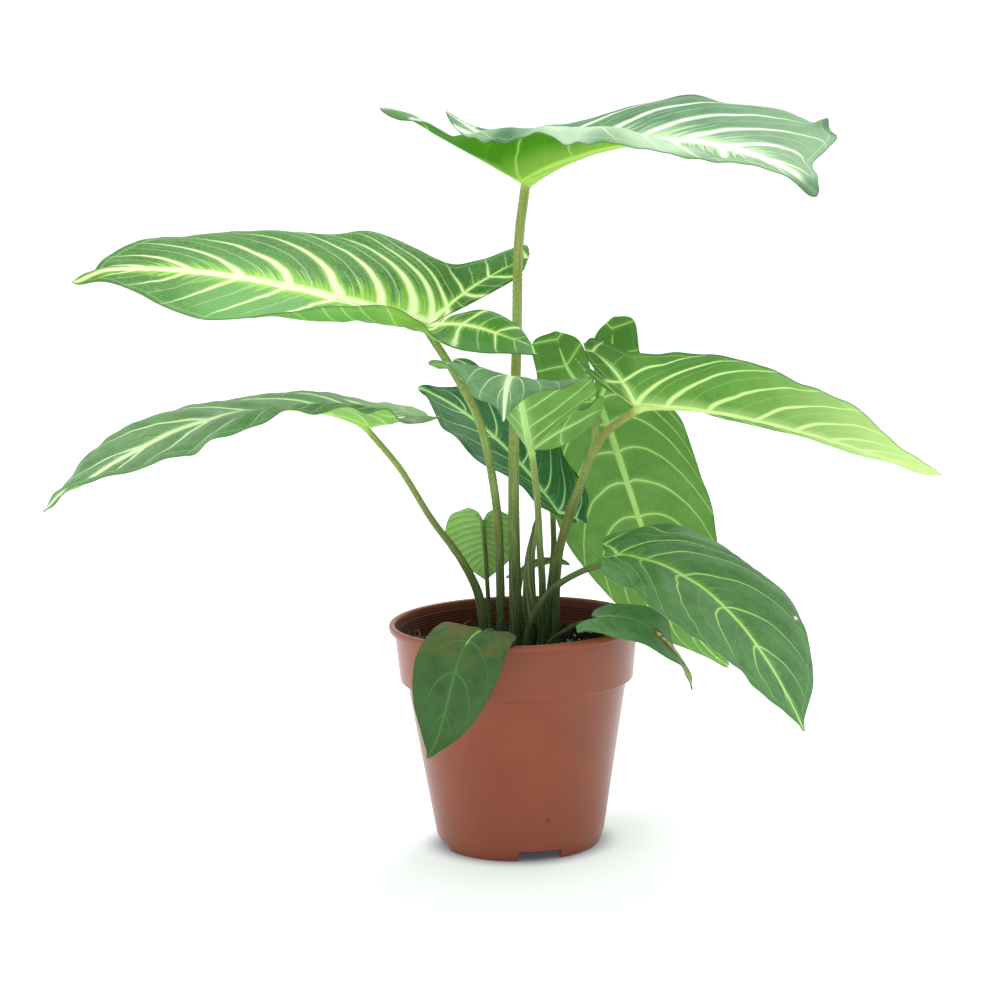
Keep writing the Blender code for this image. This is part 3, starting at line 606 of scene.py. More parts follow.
def half_blade(leaf, side):
    """One half blade in space, as grids from its inner to its outer edge.

    Beside the middle vein a point leaves it along an arc that starts at the fold and turns by the curl,
    times the cube of the way out. Behind the stem the blade turns up along each lobe, gently at the waist
    and sharply near the stem. The edge's waves are a sine along it that grows with the square of the way
    out, and its frills are ripples that grow with the cube: full in the half nearer the front, weaker in the
    other and in the lobes.
    """
    sign = 1 if side == 0 else -1
    inner, outer = flat_edges(leaf, side)
    out = (np.linspace(0, 1, COLUMNS + 1) ** COLUMN_CROWDING)[None, :]
    flat = inner[:, None] * (1 - out[..., None]) + outer[:, None] * out[..., None]
    x, y = flat[..., 0], flat[..., 1]
    share, places, along, left, upper = middle_vein(leaf)
    forward = np.clip(x / leaf.length, 0, 1)
    sideways = read_at(forward, share, left) * sign

    fold = math.radians(leaf.fold[side]) * (1 - forward * (1 - leaf.fold_kept))
    part = ((np.arange(ARC_STEPS) + 0.5) / ARC_STEPS)[:, None, None]
    turn = fold + math.radians(leaf.curl[side]) * (part * y / leaf.half_width[side]) ** 3
    level_part = y * np.cos(turn).mean(axis=0)
    risen_part = y * np.sin(turn).mean(axis=0)

    behind = np.maximum(-x, 0)
    softness = 0.35 * y
    lifted = np.sqrt(behind ** 2 + softness ** 2) - softness
    lift = math.radians(leaf.lift[side]) - 0.5 * math.radians(leaf.droop[side]) * behind / leaf.lobe[side]
    backward = behind - lifted * (1 - np.cos(lift))

    row = np.linspace(0, 1, len(inner))[:, None]
    phase = leaf.waves * row + leaf.wave_start + 0.5 * (1 - side)
    risen_part += leaf.wave * np.sin(2 * math.pi * phase) * out ** 2
    if leaf.name in FRILLS:
        high, long = FRILLS[leaf.name]
        calm = (1 if sideways[0, 0, 1] < 0 else FAR_FRILL) * np.clip(1 + x / 30, 0.3, 1)
        risen_part += high * ripples(np.stack([x, sign * y], axis=-1), long, 40 + side) * out ** 3 * calm
    points = (
        read_at(forward, share, places)
        + sideways * level_part[..., None]
        + read_at(forward, share, upper) * risen_part[..., None]
        - along[0] * backward[..., None]
        + upper[0] * (lifted * np.sin(lift))[..., None]
        + bends_at(leaf, sign, x, y)
    )
    across = np.linalg.norm(outer - inner, axis=1)[:, None]
    number, spacing, rib, share_along, margin = vein_fields(leaf, side, flat, out, across)
    whole = np.ones_like(x)
    return points, {
        "vein": np.stack([number, out * whole, spacing], axis=-1),
        "rib": np.stack([rib, share_along, whole], axis=-1),
        "flat": np.stack([x, sign * y, margin], axis=-1),
    }


def blade_sheet(leaf):
    """The whole blade without thickness: its points, its triangles, which face up, and its fields."""
    halves = [half_blade(leaf, side) for side in (0, 1)]
    shape = halves[0][0].shape[:2]
    points = np.concatenate([half.reshape(-1, 3) for half, _ in halves])
    fields = {key: np.concatenate([half[key].reshape(-1, 3) for _, half in halves]) for key in halves[0][1]}
    index = [np.arange(shape[0] * shape[1]).reshape(shape) + side * shape[0] * shape[1] for side in (0, 1)]
    shared = slice(grid_rows(leaf)[0] + 1)
    index[1][shared, 0] = index[0][shared, 0]
    triangles = []
    for side, grid in enumerate(index):
        grid[0, :] = index[0][0, 0]
        grid[-1, :] = grid[-1, 0]
        corners = grid[:-1, :-1], grid[1:, :-1], grid[1:, 1:], grid[:-1, 1:]
        a, b, c, d = (corner.ravel() for corner in corners)
        if side == 0:
            b, d = d, b
        triangles += [np.stack([a, b, c], axis=1), np.stack([a, c, d], axis=1)]
    triangles = np.concatenate(triangles)
    a, b, c = triangles.T
    triangles = triangles[(a != b) & (b != c) & (c != a)]
    used, triangles = np.unique(triangles, return_inverse=True)
    return points[used], triangles.reshape(-1, 3), {key: values[used] for key, values in fields.items()}


def point_normals(points, triangles):
    """The direction that a sheet faces at each point: the sum of its triangles there, each by its area."""
    corners = points[triangles]
    facing = np.cross(corners[:, 1] - corners[:, 0], corners[:, 2] - corners[:, 0])
    normals = np.zeros_like(points)
    for corner in range(3):
        np.add.at(normals, triangles[:, corner], facing)
    return unit(normals)


def make_blade(leaf, finish):
    """The blade as a thin closed solid.

    Between its side veins it rises in low quilts, the cosine of the vein number. Along the veins it sinks
    above and stands proud below, a bell curve of the distance to them.
    """
    look = LOOKS[leaf.name]
    points, triangles, fields = blade_sheet(leaf)
    normals = point_normals(points, triangles)
    number, out, spacing = fields["vein"].T
    rib, along, _ = fields["rib"].T
    inside = np.clip(fields["flat"][:, 2] / 6, 0, 1)
    to_vein = np.abs(number - np.round(number)) * spacing
    side_vein = np.exp(-(to_vein / (look.vein[1] * 0.6 + 0.9)) ** 2) * (1 - out) ** 0.6 * inside
    middle = np.exp(-(rib / (look.rib * 0.35 + 0.6)) ** 2) * (1 - along) ** 0.8
    quilt = look.quilt * (0.5 - 0.5 * np.cos(2 * math.pi * number)) * np.clip(rib / 8, 0, 1) * inside
    form = quilt + 0.25 * ripples(points, 16, 5) * np.clip(rib / 5, 0, 1)
    above = BLADE_THICKNESS / 2 + form - 0.35 * middle - 0.2 * side_vein
    below = BLADE_THICKNESS / 2 - form + 0.9 * middle + 0.35 * side_vein
    count = len(points)
    edges = np.concatenate([triangles[:, [0, 1]], triangles[:, [1, 2]], triangles[:, [2, 0]]])
    a, b = edges[~np.isin(edges[:, 0] * count + edges[:, 1], edges[:, 1] * count + edges[:, 0])].T
    rim = np.concatenate([np.stack([b, a, a + count], axis=1), np.stack([b, a + count, b + count], axis=1)])
    faces = np.concatenate([triangles, triangles[:, ::-1] + count, rim])
    both = {key: np.concatenate([values, values]) for key, values in fields.items()}
    both["rib"][count:, 2] = 0
    solid = np.concatenate([points + normals * above[:, None], points - normals * below[:, None]])
    make_piece(f"blade_{leaf.name}", solid, faces.tolist(), finish, [f"leaf_{leaf.name}"], both, 60)


def rings(path, radii, sides):
    """Points round a path, as far from each of its places as the radii say, and the way out at each. The
    first of a ring's angles stays square to the path without a twist."""
    around = round_angles(sides)
    side = np.array([1.0, 0.0, 0.0])
    out = []
    for direction in unit(np.gradient(path, axis=0)):
        side = unit(side - direction * (side @ direction))
        out.append(np.outer(np.cos(around), side) + np.outer(np.sin(around), np.cross(direction, side)))
    out = np.array(out)
    return path[:, None] + out * radii[..., None], out


def tube_faces(count, sides):
    """The faces of a tube of rings, with a flat face at each end."""
    ring = np.arange(count - 1)[:, None] * sides
    k = np.arange(sides)[None, :]
    after = (k + 1) % sides
    walls = np.stack([ring + k, ring + after, ring + sides + after, ring + sides + k], axis=-1).reshape(-1, 4)
    return [tuple(range(sides))[::-1], *walls.tolist(), tuple(range((count - 1) * sides, count * sides))]


def planted_path(foot, route, end):
    """A stem's path and the share of it at each place: straight up out of its hole, then a smooth curve
    through the route to its end."""
    x, y = foot
    route = [(x, y, SOIL_LEVEL), (x, y, SOIL_LEVEL + STRAIGHT_STEM), *route, end]
    spans = len(route) - 1
    curve = curve_through(np.array(route, float), STEM_STEPS * spans + 1)
    share = (1 + 2 * np.linspace(0, spans, len(curve))) / (2 * spans + 1)
    return np.vstack([[(x, y, SOIL_LEVEL - HOLE_DEPTH + 1)], curve]), np.concatenate([[0], share])


def stem_end(leaf):
    """The middle of the stem's top, just under the blade, with room for the rim of its slanting end."""
    _, _, along, _, upper = middle_vein(leaf)
    base = np.array(leaf.base, float)
    toward = unit(base - np.array(leaf.stem[-1], float))
    rim = leaf.stem_radius[1] * unit(upper[0] - toward * (toward @ upper[0]))
    room = max(-(rim @ along[0]), 0) * math.tan(math.radians(max(min(leaf.lift), 0)) / 2)
    return base - upper[0] * (SOLID_THICKNESS / 2 + SOLID_GAP + max(rim @ upper[0] - room, 0))


def hairs_on(points, out, seed, count):
    """Short hairs as slim three-sided spikes: each foot is at a random place, and its point is outside it."""
    draw = np.random.default_rng(seed)
    chosen = draw.integers(0, len(points), count)
    foot = points[chosen] + draw.normal(0, 0.3, (count, 3))
    outward = unit(out[chosen] + draw.normal(0, 0.35, (count, 3)))
    foot = foot - outward * HAIR_SUNK
    one = unit(np.cross(outward, (0.3, 0.5, 0.81)))
    two = np.cross(outward, one)
    long = draw.uniform(0.5, 1.0, count)[:, None] * HAIR_LENGTH
    corners = [foot + HAIR_RADIUS * (one * math.cos(a) + two * math.sin(a)) for a in round_angles(3)]
    spikes = np.stack([*corners, foot + outward * (long + HAIR_SUNK)], axis=1).reshape(-1, 3)
    first = np.arange(count)[:, None] * 4
    faces = np.concatenate([first + np.array(face) for face in ((0, 1, 3), (1, 2, 3), (2, 0, 3), (2, 1, 0))])
    return spikes, faces, chosen


def make_stem(leaf, finish, seed):
    """The stem, round and finely grooved, which thickens towards the soil and runs on under the middle
    vein."""
    path, share = planted_path(leaf.foot, leaf.stem, stem_end(leaf))
    thick, thin = leaf.stem_radius
    radii = 0.88 * thin + (0.96 * thick - 0.88 * thin) * (1 - share) ** 2.4
    shares, vein, _, _, upper = middle_vein(leaf)
    toward = unit(path[-1] - path[-2])
    reach, slim = np.array(STEM_UNDER_BLADE).T
    slim = slim * thin
    under = read_at(reach, shares, vein) - read_at(reach, shares, upper) * (0.2 + 0.35 * slim)[:, None]
    knots = np.vstack([path[-1] - toward * 5, path[-1], under])
    onward = curve_through(knots, 10 * (len(knots) - 1) + 1)[11:]
    path = np.vstack([path, onward])
    onward_radii = np.interp(np.linspace(0, 1, len(onward)), np.linspace(0, 1, 6), [thin, *slim])
    radii = np.concatenate([radii, onward_radii])[:, None]
    travelled = distance_along(path)
    height = (travelled - HOLE_DEPTH + 1)[:, None]
    past = (travelled - travelled[-len(onward)])[:, None]
    around = round_angles(STEM_SIDES)
    lumps = 0.045 * np.clip(1 - height / 90, 0, 1) * np.cos(3 * around + 2 * seed)
    points, out = rings(path, radii * (0.97 + 0.020 * np.cos(7 * around + seed) + lumps), STEM_SIDES)

    fields = {
        "stem": np.stack(np.broadcast_arrays(height, past, 0 * around), axis=-1),
        "grain": out * 0.5 + travelled[:, None, None] * 0.006,
    }
    hairy = slice(6, len(path) - 14)
    count = int(HAIR_CROWD * (travelled[-1] - 40) * max(thin, 1.5))
    hairs, hair_faces, chosen = hairs_on(points[hairy].reshape(-1, 3), out[hairy].reshape(-1, 3), seed, count)
    for key, values in fields.items():
        on_hairs = np.repeat(values[hairy].reshape(-1, 3)[chosen], 4, axis=0)
        fields[key] = np.vstack([values.reshape(-1, 3), on_hairs])
    points = points.reshape(-1, 3)
    fields["stem"][len(points):, 2] = 1
    faces = tube_faces(len(path), STEM_SIDES) + (hair_faces + len(points)).tolist()
    make_piece(f"stalk_{leaf.name}", np.vstack([points, hairs]), faces, finish, [f"stem_{leaf.name}"],
               fields, 60)


def make_spear(finish):
    """The new leaf, rolled up: round its path the radius shrinks from one side of its seam to the other, and
    the seam winds slowly upwards."""
    path, share = planted_path(SPEAR_FOOT, SPEAR_AXIS[:-1], SPEAR_AXIS[-1])
    share = share[:, None]
    radii = np.interp(share, np.linspace(0, 1, len(SPEAR_RADII)), SPEAR_RADII)
    radii = np.where(share > 0.9, radii * np.clip((1.0 - share) / 0.1, 0, 1) ** 0.7 + SPEAR_TOP_RADIUS, radii)
    turn = (round_angles(SPEAR_SIDES) / (2 * math.pi) + 0.35 + 0.5 * share) % 1
    radii = radii * (0.99 - 0.16 * turn + 0.012 * np.cos(9 * 2 * math.pi * turn))
    points, _ = rings(path, radii, SPEAR_SIDES)
    roll = np.stack(np.broadcast_arrays(turn, path[:, 2:] - SOIL_LEVEL, share), axis=-1).reshape(-1, 3)
    make_piece("rolled_leaf", points.reshape(-1, 3), tube_faces(len(path), SPEAR_SIDES), finish,
               ["new_leaf_spear"], {"roll": roll})


def softened(profile, reach):
    """The profile with each corner drawn round: a parabola from a point before the corner to one after it."""
    profile = np.array(profile, float)
    line = [profile[0]]
    for before, corner, after in zip(profile[:-2], profile[1:-1], profile[2:]):
        start, stop = (corner + (end - corner) * min(reach / np.linalg.norm(end - corner), 0.45)
                       for end in (before, after))
        share = np.linspace(0, 1, CORNER_STEPS + 1)[:, None]
        line += list(start * (1 - share) ** 2 + 2 * corner * share * (1 - share) + stop * share ** 2)
    line.append(profile[-1])
    return np.array(line)


def turned(profile, sides):
    """A solid of revolution of (radius, height) points, closed by a flat face at each end, outer side
    first."""
    around = round_angles(sides)
    radius, height = np.array(profile, float).T[..., None]
    points = np.stack(np.broadcast_arrays(radius * np.cos(around), radius * np.sin(around), height), axis=-1)
    return points.reshape(-1, 3), tube_faces(len(radius), sides)


def cut_away(part, cutters):
    """Cuts each cutter out of the part, for good, and removes it."""
    for cutter in cutters:
        cutter.hide_render = True
        modifier = part.modifiers.new(cutter.name, "BOOLEAN")
        modifier.operation = "DIFFERENCE"
        modifier.object = cutter
    graph = bpy.context.evaluated_depsgraph_get()
    cut = bpy.data.meshes.new_from_object(part.evaluated_get(graph))
    part.modifiers.clear()
    part.data = cut
    for cutter in cutters:
        bpy.data.objects.remove(cutter)


def inner_radius(height):
    """The pot's inner radius at a height in the collar."""
    share = (height - COLLAR_LOW[1]) / (COLLAR_TOP[1] - COLLAR_LOW[1])
    return COLLAR_LOW[0] + share * (COLLAR_TOP[0] - COLLAR_LOW[0]) - WALL


def make_pot(finish):
    """The shell with rounded corners and fine ribs inside its collar, then the notches and drain holes."""
    channel_top = FOOT_HEIGHT + FLOOR
    lip = RIM_RADIUS
    ribs = []
    for rib in range(INNER_RIBS):
        top = COLLAR_TOP[1] - 0.6 - rib * RIB_PITCH
        for down, depth in ((0.0, 0), (0.25, RIB_DEPTH), (0.75, RIB_DEPTH), (1.0, 0)):
            ribs.append((inner_radius(top - down) - depth, top - down))
    profile = softened([
        (CENTRE_RADIUS, 0), (CENTRE_RADIUS + 0.6, FOOT_HEIGHT), (FOOT_RADIUS + 0.6, FOOT_HEIGHT),
        (FOOT_RADIUS - 1.8, 0), (FOOT_RADIUS, 0), (FOOT_RADIUS + 1.4, 3), (FOOT_RADIUS + 2.8, 7),
        BODY_LOW, BODY_TOP, COLLAR_LOW, COLLAR_TOP,
        (lip - 0.3, COLLAR_TOP[1] + 0.3), (lip, COLLAR_TOP[1] + 1.0), (lip, POT_HEIGHT - 0.8),
        (lip - 0.8, POT_HEIGHT), (lip - LIP_WIDTH + 0.7, POT_HEIGHT), (lip - LIP_WIDTH, POT_HEIGHT - 0.8),
        (COLLAR_TOP[0] - WALL, COLLAR_TOP[1]),
        *ribs,
        (COLLAR_LOW[0] - WALL, COLLAR_LOW[1] + LEDGE), (BODY_TOP[0] - WALL, BODY_TOP[1] + LEDGE),
        (BODY_LOW[0] - WALL, BODY_LOW[1] + 1.0), (BODY_LOW[0] - WALL - 0.6, channel_top),
        (CENTRE_RADIUS - 0.9, channel_top), (CENTRE_RADIUS - 1.5, FLOOR),
    ], 0.7)
    points, faces = turned(profile, POT_SIDES)
    pot = make_piece("nursery_pot", points, faces, finish, ["pot"])
    box_faces = [(0, 2, 3, 1), (4, 5, 7, 6), (0, 1, 5, 4), (2, 6, 7, 3), (0, 4, 6, 2), (1, 3, 7, 5)]
    up = np.array([0, 0, 1])
    cutters = []
    for number in range(NOTCHES):
        angle = math.radians(NOTCH_FIRST + number * 360 / NOTCHES)
        outward, aside = way(angle), way(angle + math.pi / 2)
        corners = [
            outward * (FOOT_RADIUS + 6 * a) + aside * NOTCH_WIDTH / 2 * b + up * (FOOT_HEIGHT - 0.4) * c
            for c in (-1, 1) for b in (-1, 1) for a in (-1, 1)
        ]
        circle = [outward * DRAIN_RING + DRAIN_RADIUS * way(a) for a in round_angles(DRAIN_SIDES)]
        levels = [point + up * level for level in (FOOT_HEIGHT - 1, channel_top + 1) for point in circle]
        cutters.append(mesh_object(f"notch_{number}", np.array(corners) * METRES, box_faces))
        cutters.append(mesh_object(f"drain_{number}", np.array(levels) * METRES, tube_faces(2, DRAIN_SIDES)))
    cut_away(pot, cutters)
    pot.data.shade_smooth()
    pot.data.set_sharp_from_angle(angle=math.radians(35))


def soil_height(x, y):
    """The soil's top: broad lumps, level round the stems, with fine unevenness over all of it."""
    lumps = np.sin(0.21 * x + 1.3) * np.cos(0.17 * y) + 0.6 * np.sin(0.37 * y - 0.25 * x)
    away = np.clip((np.hypot(x, y) - SOIL_LEVEL_RADIUS) / 10, 0, 1)
    places = np.stack([x, y], axis=-1)
    fine = 0.55 * ripples(places, 7, 21) + 0.45 * ripples(places, 3.2, 22) + 0.3 * ripples(places, 1.6, 23)
    return SOIL_LEVEL + SOIL_BUMP * lumps * away + fine - 0.3


def make_soil(finish):
    """The soil from the pot's floor up, and its uneven top as a grid of rings."""
    clear = SOIL_CLEAR
    shelf = FLOOR + FOOT_HEIGHT + clear
    reach = inner_radius(SOIL_LEVEL) - clear
    rim = [
        (CENTRE_RADIUS - 1.5 - clear, FLOOR + clear), (CENTRE_RADIUS - 0.9 - clear, shelf),
        (BODY_LOW[0] - WALL - 0.6 - clear, shelf), (BODY_LOW[0] - WALL - clear, BODY_LOW[1] + 1.0),
        (BODY_TOP[0] - WALL - clear, BODY_TOP[1] + LEDGE + clear),
        (COLLAR_LOW[0] - WALL - clear, COLLAR_LOW[1] + LEDGE + clear),
    ]
    level = [(radius, SOIL_LEVEL) for radius in np.linspace(reach, 0.4, SOIL_RINGS)]
    points, faces = turned(rim + level, SOIL_SIDES)
    top = len(rim) * SOIL_SIDES
    points[top:, 2] = soil_height(points[top:, 0], points[top:, 1])
    make_piece("peat", points, faces, finish, ["soil"], sharp=60)


def round_grain():
    """A ball of 20 faces: 12 points at the corners of three golden rectangles."""
    golden = (1 + math.sqrt(5)) / 2
    points = [(a, b * golden, 0) for a in (-1, 1) for b in (-1, 1)]
    points = unit(np.array([np.roll(point, shift) for point in points for shift in (0, 1, 2)], float))
    near = np.linalg.norm(points[:, None] - points[None], axis=2) < 1.2
    faces = [
        (a, b, c) for a in range(12) for b in range(a + 1, 12) for c in range(b + 1, 12)
        if near[a, b] and near[b, c] and near[a, c]
    ]
    centred = [points[list(face)] for face in faces]
    outward = [np.dot(np.cross(p[1] - p[0], p[2] - p[0]), p.mean(axis=0)) > 0 for p in centred]
    return points, np.array([face if out else face[::-1] for face, out in zip(faces, outward)])


def scatter(name, count, sizes, seed, finish, sunk):
    """Uneven grains on the soil: balls drawn out, dented and turned at random, each partly sunk in the
    top."""
    draw = np.random.default_rng(seed)
    ball, ball_faces = round_grain()
    distance = (inner_radius(SOIL_LEVEL) - 2.2) * np.sqrt(draw.uniform(0, 1, count))
    angle = draw.uniform(0, 2 * math.pi, count)
    x, y = distance * np.cos(angle), distance * np.sin(angle)
    size = sizes[0] + (sizes[1] - sizes[0]) * draw.uniform(0, 1, count) ** 2.2
    middle = np.stack([x, y, soil_height(x, y) + size * (0.5 - sunk)], axis=-1)
    dents = draw.uniform(0.65, 1.2, (count, 12, 1))
    drawn = draw.uniform(0.6, 1.15, (count, 1, 3))
    turns = np.linalg.qr(draw.normal(size=(count, 3, 3)))[0]
    turns *= np.sign(np.linalg.det(turns))[:, None, None]
    grains = np.einsum("cij,cpj->cpi", turns, ball[None] * dents * drawn) * size[:, None, None] / 2
    faces = (ball_faces[None] + 12 * np.arange(count)[:, None, None]).reshape(-1, 3)
    tone = np.repeat(draw.uniform(0, 1, count), 12)
    make_piece(name, (grains + middle[:, None]).reshape(-1, 3), faces.tolist(), finish, (),
               {"tone": tone}, 30)


def make_fibres(finish):
    """Dried root fibres: thin arcs that lean on the pot's wall at the left and lie on the soil."""
    draw = np.random.default_rng(31)
    limit = inner_radius(SOIL_LEVEL) - 0.5
    points, faces = [], []
    for number in range(FIBRES):
        angle = math.radians(draw.uniform(135, 205))
        start = way(angle)[:2] * draw.uniform(44, 58)
        stop = way(angle + draw.uniform(-0.9, 0.9) * 0.5)[:2] * draw.uniform(56, 62)
        high = draw.uniform(2, 10)
        share = np.linspace(0, 1, 5)[:, None]
        flat = start * (1 - share) + stop * share + draw.normal(0, 1.5, (5, 2))
        rise = np.sin(math.pi * share[:, 0] * draw.uniform(0.55, 1.0)) * high
        route = np.column_stack([flat, soil_height(flat[:, 0], flat[:, 1]) + rise])
        radii = np.full((FIBRE_STEPS, 1), draw.uniform(0.12, 0.28))
        tube = rings(curve_through(route, FIBRE_STEPS), radii, FIBRE_SIDES)[0].reshape(-1, 3)
        tube[:, :2] *= np.minimum(1, limit / np.hypot(tube[:, 0], tube[:, 1]))[:, None]
        first = number * len(tube)
        faces += [tuple(first + corner for corner in face) for face in tube_faces(FIBRE_STEPS, FIBRE_SIDES)]
        points.append(tube)
    make_piece("root_fibres", np.vstack(points), faces, finish)


# Finishes

class Value:
    """A number, vector or colour in a finish. Arithmetic on it adds the Math nodes that work it out."""

    def __init__(self, finish, socket):
        self.finish = finish
        self.socket = socket

    def reckoned(self, operation, *others):
        """What a Math node makes of this number and the others."""
        return self.finish.value("Math", {"operation": operation}, dict(enumerate((self, *others))))

    def __add__(self, other):
        return self.reckoned("ADD", other)

    def __sub__(self, other):
        return self.reckoned("SUBTRACT", other)

    def __rsub__(self, other):
        return self * -1 + other

    def __mul__(self, other):
        return self.reckoned("MULTIPLY", other)

    def __truediv__(self, other):
        return self.reckoned("DIVIDE", other)

    def __pow__(self, power):
        return self.reckoned("POWER", power)

    def larger(self, other):
        return self.reckoned("MAXIMUM", other)

    def size(self):
        return self.reckoned("ABSOLUTE")

    def to_whole(self):
        """The distance to the nearest whole number."""
        return self.reckoned("PINGPONG", 0.5)

    def rise(self, low, high):
        """0 at low and 1 at high, smooth between them. It falls where low is the larger."""
        entries = {0: self, 1: low, 2: high, 3: 0.0, 4: 1.0}
        return self.finish.value("MapRange", {"interpolation_type": "SMOOTHSTEP"}, entries)

    __radd__ = __add__
    __rmul__ = __mul__


class Finish:
    """A material with a Principled shader, and the nodes that feed it."""

    def __init__(self, name, roughness, **constants):
        self.material = bpy.data.materials.new(name)
        self.material.use_nodes = True
        self.tree = self.material.node_tree
        self.shader = self.tree.nodes["Principled BSDF"]
        self.feed(Roughness=roughness, **constants)

    def enter(self, socket, value):
        """Links the value to the socket, or writes it there."""
        if isinstance(value, Value):
            self.tree.links.new(value.socket, socket)
        elif isinstance(value, tuple) and len(value) == 3 and socket.type == "RGBA":
            socket.default_value = (*value, 1)
        else:
            socket.default_value = value

    def feed(self, **entries):
        """Enters each value in the shader's socket of that name."""
        for key, value in entries.items():
            self.enter(self.shader.inputs[key.replace("_", " ")], value)

    def node(self, kind, settings=None, entries=None):
        """A node of this kind with its settings and with the values or links of its sockets."""
        made = self.tree.nodes.new(f"ShaderNode{kind}")
        for key, value in (settings or {}).items():
            setattr(made, key, value)
        for key, value in (entries or {}).items():
            self.enter(made.inputs[key], value)
        return made

    def value(self, kind, settings=None, entries=None, output=0):
        """What a node of this kind gives."""
        return Value(self, self.node(kind, settings, entries).outputs[output])

    def split(self, vector):
        """The three numbers of a vector."""
        return [Value(self, socket) for socket in self.node("SeparateXYZ", None, {0: vector}).outputs]

    def field(self, key, output="Vector"):
        """A piece's own field."""
        return self.value("Attribute", {"attribute_name": key}, None, output)

    def parts(self, key):
        """The three numbers of a piece's own field."""
        return self.split(self.field(key))

    def place(self):
        """The place on the piece, in metres."""
        return self.value("TexCoord", output="Object")

    def vector(self, x, y, z=0.0):
        return self.value("CombineXYZ", None, {0: x, 1: y, 2: z})

    def scaled(self, vector, scale):
        return self.value("Mapping", None, {"Vector": vector, "Scale": scale})

    def noise(self, vector, scale, detail=3.0, roughness=0.5):
        """Cloudy unevenness from 0 to 1."""
        entries = {"Vector": vector, "Scale": scale, "Detail": detail, "Roughness": roughness}
        return self.value("TexNoise", None, entries)

    def cells(self, vector, scale, feature="DISTANCE_TO_EDGE"):
        """The distance to the edge between two cells, or with F1 to the middle of a cell."""
        return self.value("TexVoronoi", {"feature": feature}, {"Vector": vector, "Scale": scale}, "Distance")

    def blend(self, share, first, second):
        """The first colour where the share is 0 and the second where it is 1."""
        return self.value("Mix", {"data_type": "RGBA"}, {0: share, 6: first, 7: second}, 2)

    def layered(self, colour, *layers):
        """The colour with others laid over it, each with its share. One whose share is 0 is left out."""
        for share, tone in layers:
            if share:
                colour = self.blend(share, colour, tone)
        return colour

    def relief(self, height, distance, strength):
        """The surface's direction where it is raised by the height."""
        return self.value("Bump", None, {"Height": height, "Distance": distance, "Strength": strength})


def tinted(colour, factor):
    """The colour made lighter or darker by a factor, at most full in each channel."""
    return tuple(min(channel * factor, 1.0) for channel in colour)


def spots_at(spots_and_painted_light, x, y):
    """A layer for each spot: its share, which is whole in its middle and soft at its rim, and its colour."""
    layers = []
    for from_x, from_y, radius, tone, strength in spots_and_painted_light:
        far = ((x - from_x) ** 2 + (y - from_y) ** 2) ** 0.5
        layers.append((far.rise(radius, radius * 0.35) * strength, tone))
    return layers


